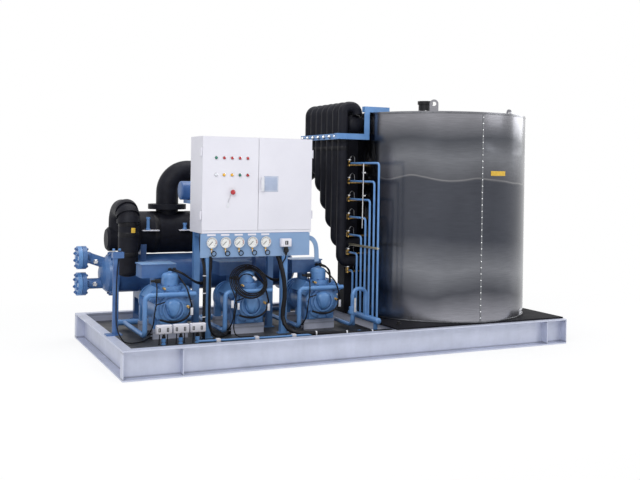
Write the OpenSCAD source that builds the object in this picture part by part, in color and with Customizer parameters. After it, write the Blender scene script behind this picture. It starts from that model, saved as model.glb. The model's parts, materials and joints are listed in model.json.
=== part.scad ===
// Flake ice machine on a skid: three compressors, a shell and tube condenser,
// a control cabinet and an insulated drum evaporator with a rotating ice scraper.
// Lengths are in millimetres. Each module is laid out from the skid's front left
// bottom corner: X to the right, Y to the back, Z up.

/* [Skid] */
// Length of the skid
skid_l = 4000; // [3900:10:4400]
// Width of the skid
skid_w = 1830; // [1800:10:2000]
// Height of the channel rails
skid_h = 220; // [200:5:260]
// Width of a rail's flange
rail_flange = 77; // [60:1:90]
// Thickness of a rail's web
rail_web = 9; // [6:0.5:12]
// Thickness of a rail's flange
rail_lip = 11; // [7:0.5:14]
// Thickness of the end plates and stiffeners of the long rails
rail_plate_t = 8; // [5:1:14]
// Distance of the left stiffener from the skid's left end
stiffener_left = 440; // [200:10:700]
// Distance of the right stiffener from the skid's right end
stiffener_right = 220; // [100:10:700]
// Height of the floor plate's top above the ground
floor_z = 150; // [140:5:165]
// Thickness of the floor plate
floor_t = 5; // [3:0.5:8]
// Leg of the ledge angles that carry the floor plate
ledge_w = 45; // [30:1:60]
// Thickness of the ledge angles
ledge_t = 5; // [3:0.5:8]

/* [Tank] */
// Outer diameter of the insulated tank
tank_d = 1600; // [1500:10:1640]
// Height of the tank's jacket
tank_h = 1807; // [1700:1:1900]
// Gap between the skid's front edge and the tank
tank_front_gap = 50; // [40:1:90]
// Gap between the skid's right edge and the tank
tank_right_gap = 44; // [30:1:90]
// Thickness of the insulated jacket
jacket_t = 100; // [70:1:120]
// Wall of the evaporator drum, with its refrigerant channels
drum_wall = 40; // [25:1:50]
// Thickness of the base sheet under the tank
sheet_t = 12; // [8:1:16]
// How far the base sheet reaches past the tank on the left
sheet_reach = 90; // [60:1:100]
// Margin between the base sheet and the long edges of the skid
sheet_margin = 48; // [20:1:60]
// Thickness of the tank's lid
lid_t = 6; // [4:0.5:12]
// Radius of the circle on which the lifting eyes stand
eye_circle_r = 765; // [650:5:770]
// Height of a lifting eye
eye_h = 100; // [70:1:130]
// Width of a lifting eye
eye_w = 75; // [50:1:100]
// Thickness of a lifting eye
eye_t = 14; // [8:1:20]

/* [Ice making] */
// Diameter of the rotor shaft
shaft_d = 70; // [50:1:90]
// Running gap between the scraper's teeth and the drum
scraper_gap = 3; // [2:0.5:8]
// Number of rings of teeth on the scraper
scraper_teeth = 24; // [12:1:32]
// Diameter of the scraper's toothed roller
scraper_d = 110; // [80:1:140]
// Number of spray pipes on the water distributor
spray_count = 8; // [4:1:12]
// Diameter of the water distributor's pan
pan_d = 420; // [300:10:520]
// Height of the drive's gear case
gear_case_h = 48; // [35:1:52]
// Diameter of the drive motor
motor_d = 125; // [90:1:140]
// Height of the drive motor with its fan cowl
motor_h = 95; // [70:1:120]

/* [Suction piping] */
// Outer diameter of an insulated suction pipe
suction_d = 90; // [60:1:95]
// Number of refrigerant circuits
circuit_count = 7; // [4:1:7]
// Spacing of the suction pipes along the row
suction_pitch = 115; // [105:1:118]
// Distance from the tank's skin to the row of suction pipes
suction_stand_off = 236; // [225:1:260]
// Gap between the last suction pipe and the suction main
main_gap = 5; // [3:1:15]
// Outer diameter of the insulated suction header
header_d = 172; // [140:1:174]
// Distance from the top of the tank's jacket down to the suction header's axis
header_drop = 97; // [90:1:130]
// Clearance between the suction header and the tank
header_gap = 8; // [4:1:20]
// Outer diameter of the insulated suction main
main_d = 200; // [170:1:210]
// Distance from the suction header's axis down to the suction main's axis
main_drop = 449; // [440:1:455]
// Height of the lowest circuit
circuit_z = 615; // [560:5:640]
// Height between two circuits
circuit_pitch = 160; // [140:1:160]

/* [Liquid piping] */
// Diameter of the liquid lines
line_d = 18; // [12:1:24]
// Diameter of the liquid header
liquid_header_d = 54; // [40:1:60]
// Height of the liquid header's axis
liquid_header_z = 256; // [245:1:280]
// Distance from the tank's skin to the plane of the liquid lines
line_stand_off = 126; // [122:1:140]
// Distance from the last liquid line to the expansion valves
line_gap = 100; // [85:5:130]
// Spacing of the liquid lines along the header
line_pitch = 75; // [50:1:78]
// Distance from the expansion valves to the second suction pipe
valve_gap = 35; // [20:1:50]
// Diameter of the liquid feed pipe
feed_d = 34; // [26:1:40]

/* [Compressors] */
// Distance from the skid's left end to the first compressor's axis
compressor_x = 550; // [540:5:580]
// Distance from the last compressor's axis to the row of suction pipes
compressor_right = 246; // [230:1:270]
// Distance from the compressors' end covers back to the discharge collector
collector_back = 660; // [640:5:680]
// Diameter of a compressor's crankcase
crankcase_d = 300; // [260:5:320]
// Length of a compressor's crankcase
crankcase_l = 320; // [280:5:340]
// Diameter of a compressor's motor barrel
barrel_d = 268; // [220:2:290]
// Length of a compressor's motor barrel
barrel_l = 250; // [200:5:270]
// Height of a compressor's axis above its beams
axle_h = 165; // [160:1:180]
// Height of the beams under the compressors
beam_h = 83; // [60:1:100]
// Diameter of a bolted end cover
cover_d = 226; // [200:2:240]
// Diameter of the domed cylinder head
head_d = 136; // [110:2:150]
// Height of the domed cylinder head above its flange
head_h = 102; // [90:1:120]
// Diameter of the discharge pipes
discharge_d = 38; // [28:1:45]

/* [Condenser and vessels] */
// Diameter of the condenser's shell
condenser_d = 330; // [280:2:340]
// Height of the condenser's axis
condenser_z = 586; // [570:1:600]
// Length left free between the condenser's shell and the tank
condenser_right = 496; // [450:1:700]
// Distance from the skid's left end to the condenser's left flange
condenser_x = 300; // [260:5:340]
// Distance from the skid's rear edge to the condenser's axis
condenser_rear = 230; // [220:1:250]
// How far the water flanges' bolts stand out past the skid's left end
water_overhang = 50; // [20:1:80]
// Bore of the water connections
water_bore = 80; // [60:1:84]
// Outer diameter of the water flanges
water_flange_d = 200; // [190:1:210]
// Diameter of the insulated suction accumulator
accumulator_d = 374; // [320:2:380]
// Distance from the skid's rear edge to the accumulator's axis
accumulator_rear = 190; // [190:1:200]
// Length of the accumulator's wide part
accumulator_l = 1120; // [900:10:1200]
// Diameter of the accumulator's narrow left end
nozzle_d = 212; // [160:2:230]
// Diameter of the insulated standpipe
standpipe_d = 170; // [140:2:180]
// Diameter of the oil separator
separator_d = 160; // [120:2:180]

/* [Cabinet] */
// Width of the control cabinet
cabinet_w = 970; // [900:10:1000]
// Height of the control cabinet
cabinet_h = 785; // [700:5:850]
// Depth of the control cabinet behind its doors
cabinet_d = 290; // [240:5:320]
// Reach of the cabinet left of the middle between two compressors
cabinet_left = 121; // [111:1:131]
// Distance from the skid's front edge to the face of the doors
cabinet_y = 600; // [590:5:620]
// Height of the cabinet's underside
cabinet_z = 997; // [980:1:1020]
// Wall of the cabinet
cabinet_wall = 3; // [2:0.5:5]
// Thickness of a door
door_t = 20; // [14:1:24]
// Gap round the doors
door_gap = 2; // [1:0.5:4]
// Height of the plinth strip under the doors
plinth_h = 20; // [10:1:30]
// Pitch of the pilot lamps
lamp_pitch = 68; // [60:1:72]
// Diameter of a pilot lamp's bezel
lamp_d = 30; // [22:1:34]
// Diameter of a push button
button_d = 22; // [18:0.5:24]
// Diameter of the mushroom head of the emergency button
mushroom_d = 42; // [30:1:48]
// Length of the door latch's lever
latch_l = 114; // [80:1:130]

/* [Gauges] */
// Diameter of a pressure gauge
gauge_d = 90; // [70:1:100]
// Spacing of the pressure gauges
gauge_pitch = 117; // [105:1:120]
// Number of pressure gauges
gauge_count = 5; // [5:1:5]
// Height of the gauge panel
panel_h = 192; // [170:1:200]
// Thickness of the gauge panel
panel_t = 3; // [2:0.5:5]

/* [Hidden] */
$fn = 48;
wide_fn = 240;
fit = 0.2;
run_gap = 0.5;
sink = 1;

// Places that follow from the sizes above
origin_x = (skid_l - water_overhang) / 2;
rail_inner = rail_flange;
sheet_z = skid_h;
tank_z = sheet_z + sheet_t;
tank_x = skid_l - tank_right_gap - tank_d / 2;
tank_y = tank_front_gap + tank_d / 2;
tank_left = tank_x - tank_d / 2;
lid_z = tank_z + tank_h;
lid_top = lid_z + lid_t;
chamber_d = tank_d - 2 * jacket_t - 2 * drum_wall;
sheet_left = tank_left - sheet_reach;
cross_x = sheet_left + 20;
floor_right = cross_x;

// Skid
beam_w = 60;
beam_l = 290;
beam_wall = 6;

// Tank and drive
tooth_h = 14;
hub_d = shaft_d + 70;
arm_h = 60;
arm_t = 30;
roller_r = chamber_d / 2 - scraper_gap - tooth_h - scraper_d / 2;
roller_bottom = tank_z + 230;
roller_top = lid_z - 210;
pan_z = lid_z - 150;
pan_h = 70;
pan_wall = 4;
spray_d = 22;
base_z = tank_z + 40;
base_h = 60;
base_arm_w = 50;
trough_w = 90;
trough_wall = 4;
bearing_d = shaft_d + 60;
motor_back = 50;
motor_left = 116;
motor_x = tank_x - motor_left;
motor_y = tank_y + motor_back;
cowl_d = motor_d + 18;
cowl_h = 30;
gear_case_w = 190;
eye_angles = [234, 354, 114];

// Suction side
row_x = tank_left - suction_stand_off;
header_z = lid_z - header_drop;
main_z = header_z - main_drop;
header_x = tank_left - header_gap - header_d / 2;
main_y = skid_w - accumulator_rear;
suction_front = main_y - main_d / 2 - main_gap - suction_d / 2 - (circuit_count - 1) * suction_pitch;
u_bend = 60;
u_top = header_z + header_d / 2 + u_bend + 6;
nozzle_rise = 100;
header_bend = 120;
header_front = suction_front - 15;
header_dome = 60;
joint_z = main_z + 230;
main_bend = 190;
riser_x = 770;
collar_d = main_d + 140;
collar_t = 45;
collar_rise = 20;
function suction_y(k) = suction_front + k * suction_pitch;
function circuit_height(k) = circuit_z + k * circuit_pitch;

// Blue bracket that carries the suction header, and the rail along the pipes
bracket_w = 50;
bracket_t = 8;
bracket_gap = 5;
bracket_x = tank_left - bracket_w - 20;
bracket_y = suction_front - suction_d / 2 - bracket_w - bracket_gap;
bracket_reach = 202;
rail_end = 20;
rail_z = header_z - header_d / 2 - bracket_w - 6;
clip_t = 12;
clip_w = 40;
rail_x = row_x - suction_d / 2 - clip_t;

// Foam slab over the tank's inlets
slab_x = tank_left - 116;
slab_in = 30;
slab_y = suction_y(1) + suction_d / 2 + 2;
slab_back = suction_y(3) - suction_d / 2 - bracket_gap;
slab_top = header_z - header_d / 2 - 6;

// Liquid side
line_x = tank_left - line_stand_off;
valve_y = suction_y(1) - valve_gap;
line_front = valve_y - line_gap - (circuit_count - 1) * line_pitch;
line_bend = 30;
header_over = 40;
header_end = 12;
rest_in = 60;
rest_w = 36;
rest_t = 10;
valve_body_d = 30;
valve_body_h = 44;
valve_cap_d = 44;
valve_cap_h = 12;
valve_stem_h = 8;
feed_x = line_x - 130;
feed_y = line_front + 2.6 * line_pitch;
feed_top = liquid_header_z + 250;
feed_low = floor_z + feed_d / 2 + 30;
feed_bend = 60;
ball_z = feed_low + 100;
ball_d = 60;
ball_h = 56;
stem_d = 14;
stem_out = 12;
outlet_right = 100;
lever_l = 110;
lever_w = 18;
lever_t = 5;
lever_nut_h = 4;

// Condenser's place, and what stands in front of it
condenser_y = skid_w - condenser_rear;
condenser_l = tank_left - condenser_right - condenser_x;
stand_w = 270;
stand_foot_out = 20;
collector_gap = 125;
collector_y = condenser_y - stand_w / 2 - stand_foot_out - collector_gap;
compressor_y = collector_y - collector_back;

// Compressors
compressor_pitch = (row_x - compressor_right - compressor_x) / 2;
axle_z = floor_z + beam_h + axle_h;
sump_w = 230;
foot_w = 56;
foot_l = 46;
foot_x = 112;
foot_front = 60;
foot_rear = crankcase_l + 160;
rib_t = 9;
rib_count = 5;
rib_out = 9;
rib_margin = 18;
rear_cap_d = barrel_d - 60;
rear_cap_l = 32;
sump_inset = 14;
sump_drop = 6;
bank_front = 30;
bank_cap_t = 24;
bank_cap_margin = 6;
valve_block_x = 95;
valve_block_w = 55;
valve_block_h = 52;
valve_block_back = 32;
foot_top = 40;
gland_d = 26;
gland_l = 22;
gland_y = 45;
gland_heights = [30, 68];
cover_t = 16;
cover_ring_d = cover_d - 48;
cover_ring_w = 12;
cover_ring_h = 30;
cover_hub_d = 110;
cover_hub_h = 44;
cover_eye_d = 48;
cover_bolts = 8;
cover_bolt_d = 15;
cover_bolt_h = 9;
cover_margin = 11;
bank_w = 118;
bank_angle = 52;
bank_r = crankcase_d / 2 + 38;
bank_l = 220;
head_flange_d = head_d + 52;
head_flange_t = 20;
head_seat = crankcase_d / 2 + 5;
head_round = 34;
head_y = 95;
box_w = 280;
box_l = 180;
box_h = 104;
box_lid_t = 8;
box_lid_out = 8;
box_seat = crankcase_d / 2 + 78;
box_left = 212;
box_front = 172;
pedestal_d = 90;
discharge_front = 42;
discharge_y = compressor_y - discharge_front;
discharge_z = axle_z + 117;
discharge_low = floor_z + 48;
discharge_left = 235;
discharge_right = 175;
discharge_bend = 40;
collector_d = discharge_d + 12;
function compressor_axis(i) = compressor_x + i * compressor_pitch;

// Condenser and vessels
tube_plate_d = condenser_d + 56;
tube_plate_t = 26;
bell_l = 96;
bell_flange_t = 24;
flange_t = 36;
gasket_t = 3;
bolt_out = 16;
bolt_d = 16;
bolt_circle = water_flange_d - 40;
bolt_count = 8;
nut_h = 10;
nut_d = 27;
flange_left = -water_overhang + bolt_out;
fixed_flange_x = flange_left + flange_t + gasket_t;
water_wall = 6;
water_upper_z = condenser_z + 147;
water_lower_z = condenser_z - 81;
stub_straight = 55;
stub_d = water_bore + 2 * water_wall;
stub_rise = 78;
elbow_d = stub_d + 8;
raised_face_d = bolt_circle - bolt_d - 6;
bell_left = condenser_x - tube_plate_t - bell_flange_t - bell_l;
accumulator_z = condenser_z + condenser_d / 2 + accumulator_d / 2 + 6;
accumulator_x = 440;
accumulator_dome = 50;
nozzle_x = 222;
nozzle_gap = 4;
nozzle_reach = (tube_plate_d + nozzle_d) / 2 + nozzle_gap;
nozzle_z = condenser_z + sqrt(pow(nozzle_reach, 2) - pow(main_y - condenser_y, 2));
nozzle_round = 20;
nozzle_in = 80;
standpipe_x = condenser_x + 30;
standpipe_y = main_y - 380;
standpipe_bottom = 592;
standpipe_dome = 40;
standpipe_foot = standpipe_bottom + 100;
standpipe_top = accumulator_z + 212;
standpipe_bend = 130;
ring_out = 13;
stand_t = 50;
stand_foot_t = 12;
stand_window = 50;
stand_sill = 60;
saddle_w = 240;
saddle_gap = 70;
saddle_wrap = 70;
stand_left = condenser_x + 220;
stand_right = condenser_x + condenser_l - 220;
post_d = 48;
post_x = 90;
post_y = 650;
post_top = 853;
post_foot = [120, 90, 8];
post_clamp = [85, 60, 46];

// Cabinet and its frame
cabinet_x = (compressor_axis(0) + compressor_axis(1)) / 2 - cabinet_left;
body_y = cabinet_y + door_t + door_gap;
body_back = body_y + cabinet_d;
door_w = (cabinet_w - 3 * door_gap) / 2;
door_h = cabinet_h - plinth_h - 2 * door_gap;
door_z = cabinet_z + plinth_h + door_gap;
door_skin = 3;
split_x = cabinet_x + cabinet_w / 2;
hinge_out = 8;
hinge_d = 14;
hinge_pin_d = 6;
hinge_h = 34;
hinge_t = 4;
hinge_fit = 0.05;
hinge_low = door_z + 90;
hinge_high = door_z + door_h - 90 - 2 * hinge_h;
hinge_y = cabinet_y + door_t / 2;
louvre_count = 9;
louvre_h = 8;
louvre_pitch = 22;
louvre_w = 170;
louvre_z = cabinet_z + 45;
frame_w = 50;
frame_h = 40;
frame_front = cabinet_y + 5;
frame_rear = body_back + 3;
frame_left = cabinet_x + 42;
frame_shift = 74;
frame_right = (compressor_axis(1) + compressor_axis(2)) / 2 - frame_shift;
separator_y = body_back + 240;
separator_z = cabinet_z + 333;
separator_x = cabinet_x - 25;
separator_gap = 79;
separator_l = compressor_axis(2) - discharge_left - separator_gap - separator_x;
separator_dome = 14;
carrier_h = 30;
carrier_out = 90;
rear_post_top = separator_z - separator_d / 2 - carrier_h;
drop_x = frame_right - 40;
foot_plate_t = 8;
foot_plate_out = 20;
lamp_x = cabinet_x + 114;
lamp_row_1 = cabinet_z + 612;
lamp_row_2 = cabinet_z + 474;
lamp_out = 8;
lens_out = 16;
mushroom_x = cabinet_x + 256;
mushroom_z = cabinet_z + 334;
mushroom_out = 34;
mushroom_cap = 16;
button_out = 14;
button_in = 12;
button_collar = 3;
collar_gap = 5;
bezel_w = 4;
latch_x = split_x + 30;
latch_z = cabinet_z + 446;
latch_w = 24;
latch_t = 12;
latch_base_t = 10;
latch_spindle_d = 16;
cam_gap = 6;
cam_t = 5;
cam_w = 20;
cam_l = 46;
plate_x = split_x + 47;
plate_w = 128;
plate_h = 128;
plate_z = cabinet_z + 340;
plate_t = 2;
gear_plate_t = 3;
gear_plate_gap = 20;
gear_margin = 40;
gear_stud_d = 14;
breaker_size = [66, 70, 100];
breaker_pitch = 84;
breaker_count = 9;
contactor_size = [100, 95, 120];
contactor_pitch = 128;
contactor_count = 6;
terminal_out = 45;
terminal_h = 60;
duct_out = 50;
duct_h = 40;
hinge_heights = [hinge_low, hinge_high];

// Gauges, instruments and cables
panel_x = cabinet_x - 8;
panel_w = cabinet_w - 4;
panel_y = frame_front - panel_t;
panel_z = cabinet_z - frame_h + 36 - panel_h;
gauge_x = cabinet_x + 84;
gauge_z = panel_z + 122;
gauge_front = 22;
gauge_stem_d = 13;
gauge_stem_l = 26;
gauge_rim = 5;
gauge_recess = 9;
needle_l = 30;
needle_tail = 10;
needle_w = 3;
needle_t = 1.5;
needle_gap = 3;
spindle_d = 4;
loop_r = 21;
loop_d = 7;
loop_z = panel_z + 32;
control_x = compressor_x - 184;
control_y = compressor_y - 210;
control_size = [124, 48, 70];
control_pitch = 136;
control_rise = 84;
column_d = 22;
union_d = 36;
union_h = 34;
union_z = 20;
switch_size = [92, 44, 68];
switch_x = panel_x + 690;
switch_z = panel_z + 78;

// Cables, each a hand-laid route
cable_d = 38;
cable_sides = 12;
cable_steps = 2;
cable_floor_z = floor_z + cable_d / 2 + 1;
cable_end_x = cross_x + rail_flange - rail_web - fit;
cable_x = compressor_axis(1);
cable_route = [
    [cable_x + 228, cabinet_y + 90, cabinet_z - fit], [cable_x + 228, cabinet_y + 90, 860],
    [cable_x + 233, cabinet_y, 760], [cable_x + 263, cabinet_y - 30, 600],
    [cable_x + 268, cabinet_y - 35, 450], [cable_x + 250, cabinet_y - 40, 300], [cable_x + 278, cabinet_y - 100, 205],
    [cable_x + 368, cabinet_y - 160, cable_floor_z + 4], [cable_end_x - 594, cabinet_y - 215, cable_floor_z],
    [cable_end_x - 404, cabinet_y - 265, cable_floor_z], [cable_end_x - 224, cabinet_y - 300, cable_floor_z],
    [cable_end_x - 94, cabinet_y - 310, cable_floor_z], [cable_end_x, cabinet_y - 310, cable_floor_z]
];
side_cable_d = 26;
side_cable_sides = 10;
side_cable_x = cabinet_x + 26;
side_cable_route = [
    for (p = [[90, cabinet_z - fit], [90, 860], [0, 740], [-15, 600], [-15, 420], [-15, 250],
              [-15, floor_z + fit]])
        [side_cable_x, cabinet_y + p.x, p.y]
];
coil_r = 150;
coil_d = 34;
coil_tilt = 55;
coil_left = 20;
coil_up = 66;
coil_off = (discharge_d + coil_d) / 2 + fit;
coil_place = [
    compressor_axis(1) - coil_left,
    discharge_y + coil_up * cos(coil_tilt) - coil_off * sin(coil_tilt),
    discharge_z + coil_up * sin(coil_tilt) + coil_off * cos(coil_tilt)
];
lead_d = 10;
lead_sides = 8;
lead_steps = 4;
lead_route = [
    for (p = [[-126, -95, 503], [-142, -104, 440], [-160, -100, 360], [-172, -85, 280], [-170, -80, 210],
              [-147, -95, 163], [-82, -120, 156], [18, -145, 156], [128, -170, 156], [258, -185, 162]])
        [cable_x + p.x, compressor_y + p.y, p.z]
];

// Shared shapes

module placed() translate([-origin_x, -skid_w / 2, 0]) children();

function unit(v) = v / norm(v);

// How far before a corner of a route the bend starts
function set_back(p, i, r) = r * tan(acos(unit(p[i] - p[i - 1]) * unit(p[i + 1] - p[i])) / 2);

// A box given by its two opposite corners
module block(low, high) translate(low) cube(high - low);

// A straight round bar from one point to another
module rod(a, b, d) {
    v = b - a;
    translate(a)
        rotate([0, acos(v.z / norm(v)), atan2(v.y, v.x)])
            cylinder(h = norm(v), d = d);
}

// A stretch of a bend at a corner, from one direction to another
module bend(corner, u, w, d, r, from = 0, to = 1) {
    turn = acos(u * w);
    n = unit(w - u * (u * w));
    c = corner - u * r * tan(turn / 2) + n * r;
    z = cross(-n, u);
    multmatrix([[-n.x, u.x, z.x, c.x], [-n.y, u.y, z.y, c.y], [-n.z, u.z, z.z, c.z], [0, 0, 0, 1]])
        rotate([0, 0, turn * from])
            rotate_extrude(angle = turn * (to - from))
                translate([r, 0])
                    circle(d = d);
}

// A pipe along a route of corners, with a round bend at each one
module pipe(p, d, r) {
    last = len(p) - 1;
    for (i = [0 : last - 1]) {
        u = unit(p[i + 1] - p[i]);
        a = i == 0 ? p[0] : p[i] + u * set_back(p, i, r);
        b = i == last - 1 ? p[last] : p[i + 1] - u * set_back(p, i + 1, r);
        rod(a, b, d);
    }
    for (i = [1 : 1 : last - 1])
        bend(p[i], unit(p[i] - p[i - 1]), unit(p[i + 1] - p[i]), d, r);
}

// A round bar with a domed end on its far side, along Z
module domed_bar(l, d, dome, steps = 5) {
    arc = [for (i = [0 : steps]) let (a = 90 * i / steps) [d / 2 * cos(a), l - dome + dome * sin(a)]];
    rotate_extrude()
        polygon(concat([[0, 0], [d / 2, 0]], arc));
}

// A bar domed at both ends, along Z
module capsule(l, d, dome, steps = 5) {
    up = [for (i = [0 : steps]) let (a = 90 * i / steps) [d / 2 * cos(a), l - dome + dome * sin(a)]];
    down = [for (i = [0 : steps]) let (a = 90 - 90 * i / steps) [d / 2 * cos(a), dome - dome * sin(a)]];
    rotate_extrude()
        polygon(concat(down, up));
}

module along_x(p) translate(p) rotate([0, 90, 0]) children();
module along_y(p) translate(p) rotate([-90, 0, 0]) children();
module along_front(p) translate(p) rotate([90, 0, 0]) children();

// Skid

// A channel along X whose flanges point to -Y, from the origin
module channel(l) {
    rotate([90, 0, 90])
        linear_extrude(l)
            polygon([
                [0, 0], [rail_flange, 0], [rail_flange, skid_h], [0, skid_h], [0, skid_h - rail_lip],
                [rail_flange - rail_web, skid_h - rail_lip], [rail_flange - rail_web, rail_lip], [0, rail_lip]
            ]);
}

// A plate between the flanges of a long rail
module rail_plate(x) {
    block([x, 0, rail_lip], [x + rail_plate_t, rail_flange - rail_web, skid_h - rail_lip]);
}

module long_rail() {
    channel(skid_l);
    for (x = [0, stiffener_left, skid_l - stiffener_right, skid_l - rail_plate_t])
        rail_plate(x);
}

module front_rail() {
    color("lightsteelblue") placed() long_rail();
}

module rear_rail() {
    color("lightsteelblue") placed() translate([skid_l, skid_w, 0]) rotate([0, 0, 180]) long_rail();
}

module left_rail() {
    color("lightsteelblue") placed()
        translate([0, skid_w - rail_flange, 0]) rotate([0, 0, -90]) channel(skid_w - 2 * rail_flange);
}

module right_rail() {
    color("lightsteelblue") placed()
        translate([skid_l, rail_flange, 0]) rotate([0, 0, 90]) channel(skid_w - 2 * rail_flange);
}

// A ledge angle on a long rail: one leg under the floor, one up the web
module ledge(from, to) {
    under = floor_z - floor_t;
    block([from, 0, under - ledge_t], [to, ledge_w, under]);
    block([from, 0, under - ledge_t], [to, ledge_t, under + ledge_w]);
}

// A beam folded from plate under one pair of a compressor's feet
module compressor_beam(x, y) {
    difference() {
        block([x - beam_l / 2, y - beam_w / 2, floor_z], [x + beam_l / 2, y + beam_w / 2, floor_z + beam_h]);
        block([x - beam_l / 2 - 1, y - beam_w / 2 + beam_wall, floor_z - 1],
              [x + beam_l / 2 + 1, y + beam_w / 2 - beam_wall, floor_z + beam_h - beam_wall]);
    }
}

module cross_members() {
    color("lightsteelblue") placed() {
        translate([cross_x, skid_w - rail_flange, 0]) rotate([0, 0, -90]) channel(skid_w - 2 * rail_flange);
        translate([0, rail_inner, 0]) ledge(rail_inner, cross_x);
        translate([0, skid_w - rail_inner, 0]) mirror([0, 1, 0]) ledge(rail_inner, cross_x);
        for (i = [0 : 2], y = [foot_front, foot_rear])
            compressor_beam(compressor_axis(i), compressor_y + y + foot_l / 2);
    }
}

module floor_plate() {
    color("dimgray") placed()
        block([rail_inner, rail_inner + ledge_t, floor_z - floor_t],
              [floor_right, skid_w - rail_inner - ledge_t, floor_z]);
}

// Tank and ice making

module base_sheet() {
    color("black") placed() difference() {
        block([sheet_left, sheet_margin, sheet_z], [skid_l, skid_w - sheet_margin, tank_z]);
        translate([tank_x, tank_y, sheet_z - 1]) cylinder(h = sheet_t + 2, d = chamber_d);
    }
}

module ring(d_out, d_in, h) {
    difference() {
        cylinder(h = h, d = d_out);
        translate([0, 0, -1]) cylinder(h = h + 2, d = d_in);
    }
}

module at_tank(z) placed() translate([tank_x, tank_y, z]) children();

module tank_jacket() {
    color("silver") at_tank(tank_z) ring(tank_d, tank_d - 2 * jacket_t, tank_h, $fn = wide_fn);
}

module evaporator_drum() {
    color("lightgray") at_tank(tank_z) ring(tank_d - 2 * jacket_t - 2 * fit, chamber_d, tank_h, $fn = wide_fn);
}

module lifting_eye() {
    rotate([90, 0, 0])
        translate([0, 0, -eye_t / 2])
            linear_extrude(eye_t)
                difference() {
                    union() {
                        translate([-eye_w / 2, 0]) square([eye_w, eye_h - eye_w / 2]);
                        translate([0, eye_h - eye_w / 2]) circle(d = eye_w);
                    }
                    translate([0, eye_h - eye_w / 2]) circle(d = eye_w / 2);
                }
}

module tank_lid() {
    color("silver") at_tank(lid_z) {
        difference() {
            cylinder(h = lid_t, d = tank_d, $fn = wide_fn);
            translate([0, 0, -1]) cylinder(h = lid_t + 2, d = shaft_d + 20);
        }
        for (a = eye_angles)
            rotate([0, 0, a]) translate([eye_circle_r, 0, lid_t]) rotate([0, 0, 90]) lifting_eye();
    }
}

module gear_case() {
    color("gray") at_tank(lid_top) difference() {
        union() {
            cylinder(h = gear_case_h, d = gear_case_w);
            translate([-motor_left, motor_back, 0]) cylinder(h = gear_case_h, d = gear_case_w - 20);
            rotate([0, 0, atan2(motor_back, -motor_left)])
                translate([0, -gear_case_w * 0.4, 0])
                    cube([norm([motor_left, motor_back]), gear_case_w * 0.8, gear_case_h - 6]);
        }
        translate([0, 0, -1]) cylinder(h = gear_case_h - 9, d = shaft_d + 2 * hinge_fit);
    }
}

module drive_motor() {
    color("black") placed() translate([motor_x, motor_y, lid_top + gear_case_h]) {
        cylinder(h = motor_h - cowl_h, d = motor_d);
        translate([0, 0, motor_h - cowl_h]) cylinder(h = cowl_h, d = cowl_d);
    }
}

module rotor_shaft() {
    color("lightgray") at_tank(base_z + 10)
        cylinder(h = lid_top + gear_case_h - 11 - base_z - 10, d = shaft_d);
}

module scraper_arm(z) {
    translate([0, 0, z]) difference() {
        union() {
            cylinder(h = arm_h, d = hub_d);
            translate([0, -arm_t / 2, 0]) cube([roller_r, arm_t, arm_h]);
            translate([roller_r, 0, 0]) cylinder(h = arm_h, d = scraper_d * 0.7);
        }
        translate([0, 0, -1]) cylinder(h = arm_h + 2, d = shaft_d);
    }
}

module ice_scraper() {
    roller_l = roller_top - roller_bottom;
    step = (roller_l - 2 * arm_h) / scraper_teeth;
    color("lightgray") at_tank(roller_bottom) {
        scraper_arm(0);
        scraper_arm(roller_l - arm_h);
        translate([roller_r, 0, arm_h]) cylinder(h = roller_l - 2 * arm_h, d = scraper_d);
        for (i = [0 : scraper_teeth - 1])
            translate([roller_r, 0, arm_h + i * step + step / 4])
                cylinder(h = step / 2, d = scraper_d + 2 * tooth_h);
    }
}

module water_distributor() {
    color("gainsboro") at_tank(pan_z) difference() {
        union() {
            cylinder(h = pan_h, d = pan_d);
            for (i = [0 : spray_count - 1])
                rotate([0, 0, 360 * (i + 0.5) / spray_count])
                    along_x([0, 0, pan_h / 2]) cylinder(h = chamber_d / 2 - 30, d = spray_d);
        }
        translate([0, 0, pan_wall])
            ring(pan_d - 2 * pan_wall, shaft_d + 4 * pan_wall, pan_h);
        translate([0, 0, -1]) cylinder(h = pan_h + 2, d = shaft_d);
    }
}

module drum_base() {
    color("lightgray") at_tank(base_z) difference() {
        union() {
            ring(chamber_d - 2 * fit, chamber_d - 2 * trough_w, base_h);
            cylinder(h = base_h, d = bearing_d);
            for (a = [0, 120, 240])
                rotate([0, 0, a])
                    translate([0, -base_arm_w / 2, 0])
                        cube([chamber_d / 2 - trough_w + trough_wall, base_arm_w, base_h]);
        }
        translate([0, 0, trough_wall])
            ring(chamber_d - 2 * trough_wall, chamber_d - 2 * trough_w + 2 * trough_wall, base_h);
        translate([0, 0, 10 - fit]) cylinder(h = base_h, d = shaft_d + 2 * hinge_fit);
    }
}

// Suction side

// A pipe from the tank's skin up to a hairpin that drops into the header
module suction_pipe(k) {
    y = suction_y(k);
    z = circuit_height(k) + nozzle_rise;
    pipe([[tank_x, y, z], [row_x, y, z], [row_x, y, u_top], [header_x, y, u_top], [header_x, y, header_z]],
         suction_d, u_bend);
}

// The tank's space, with clearance for what ends on its skin
module tank_space() {
    translate([tank_x, tank_y, 0]) cylinder(h = 2 * lid_z, d = tank_d + 2 * fit, $fn = wide_fn);
}

module suction_pipes() {
    color("#202228") placed() difference() {
        for (k = [0 : circuit_count - 1])
            suction_pipe(k);
        rod([header_x, 0, header_z], [header_x, skid_w, header_z], header_d + 2 * fit);
        tank_space();
    }
}

// The foam slab behind the expansion valves, round a suction nozzle
module inlet_cover() {
    color("#202228") placed() difference() {
        block([slab_x, slab_y, tank_z + fit], [tank_left + slab_in, slab_back, slab_top]);
        for (k = [0 : circuit_count - 1])
            along_x([row_x, suction_y(k), circuit_height(k) + nozzle_rise])
                cylinder(h = tank_d, d = suction_d + 2 * fit);
        tank_space();
    }
}

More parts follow.
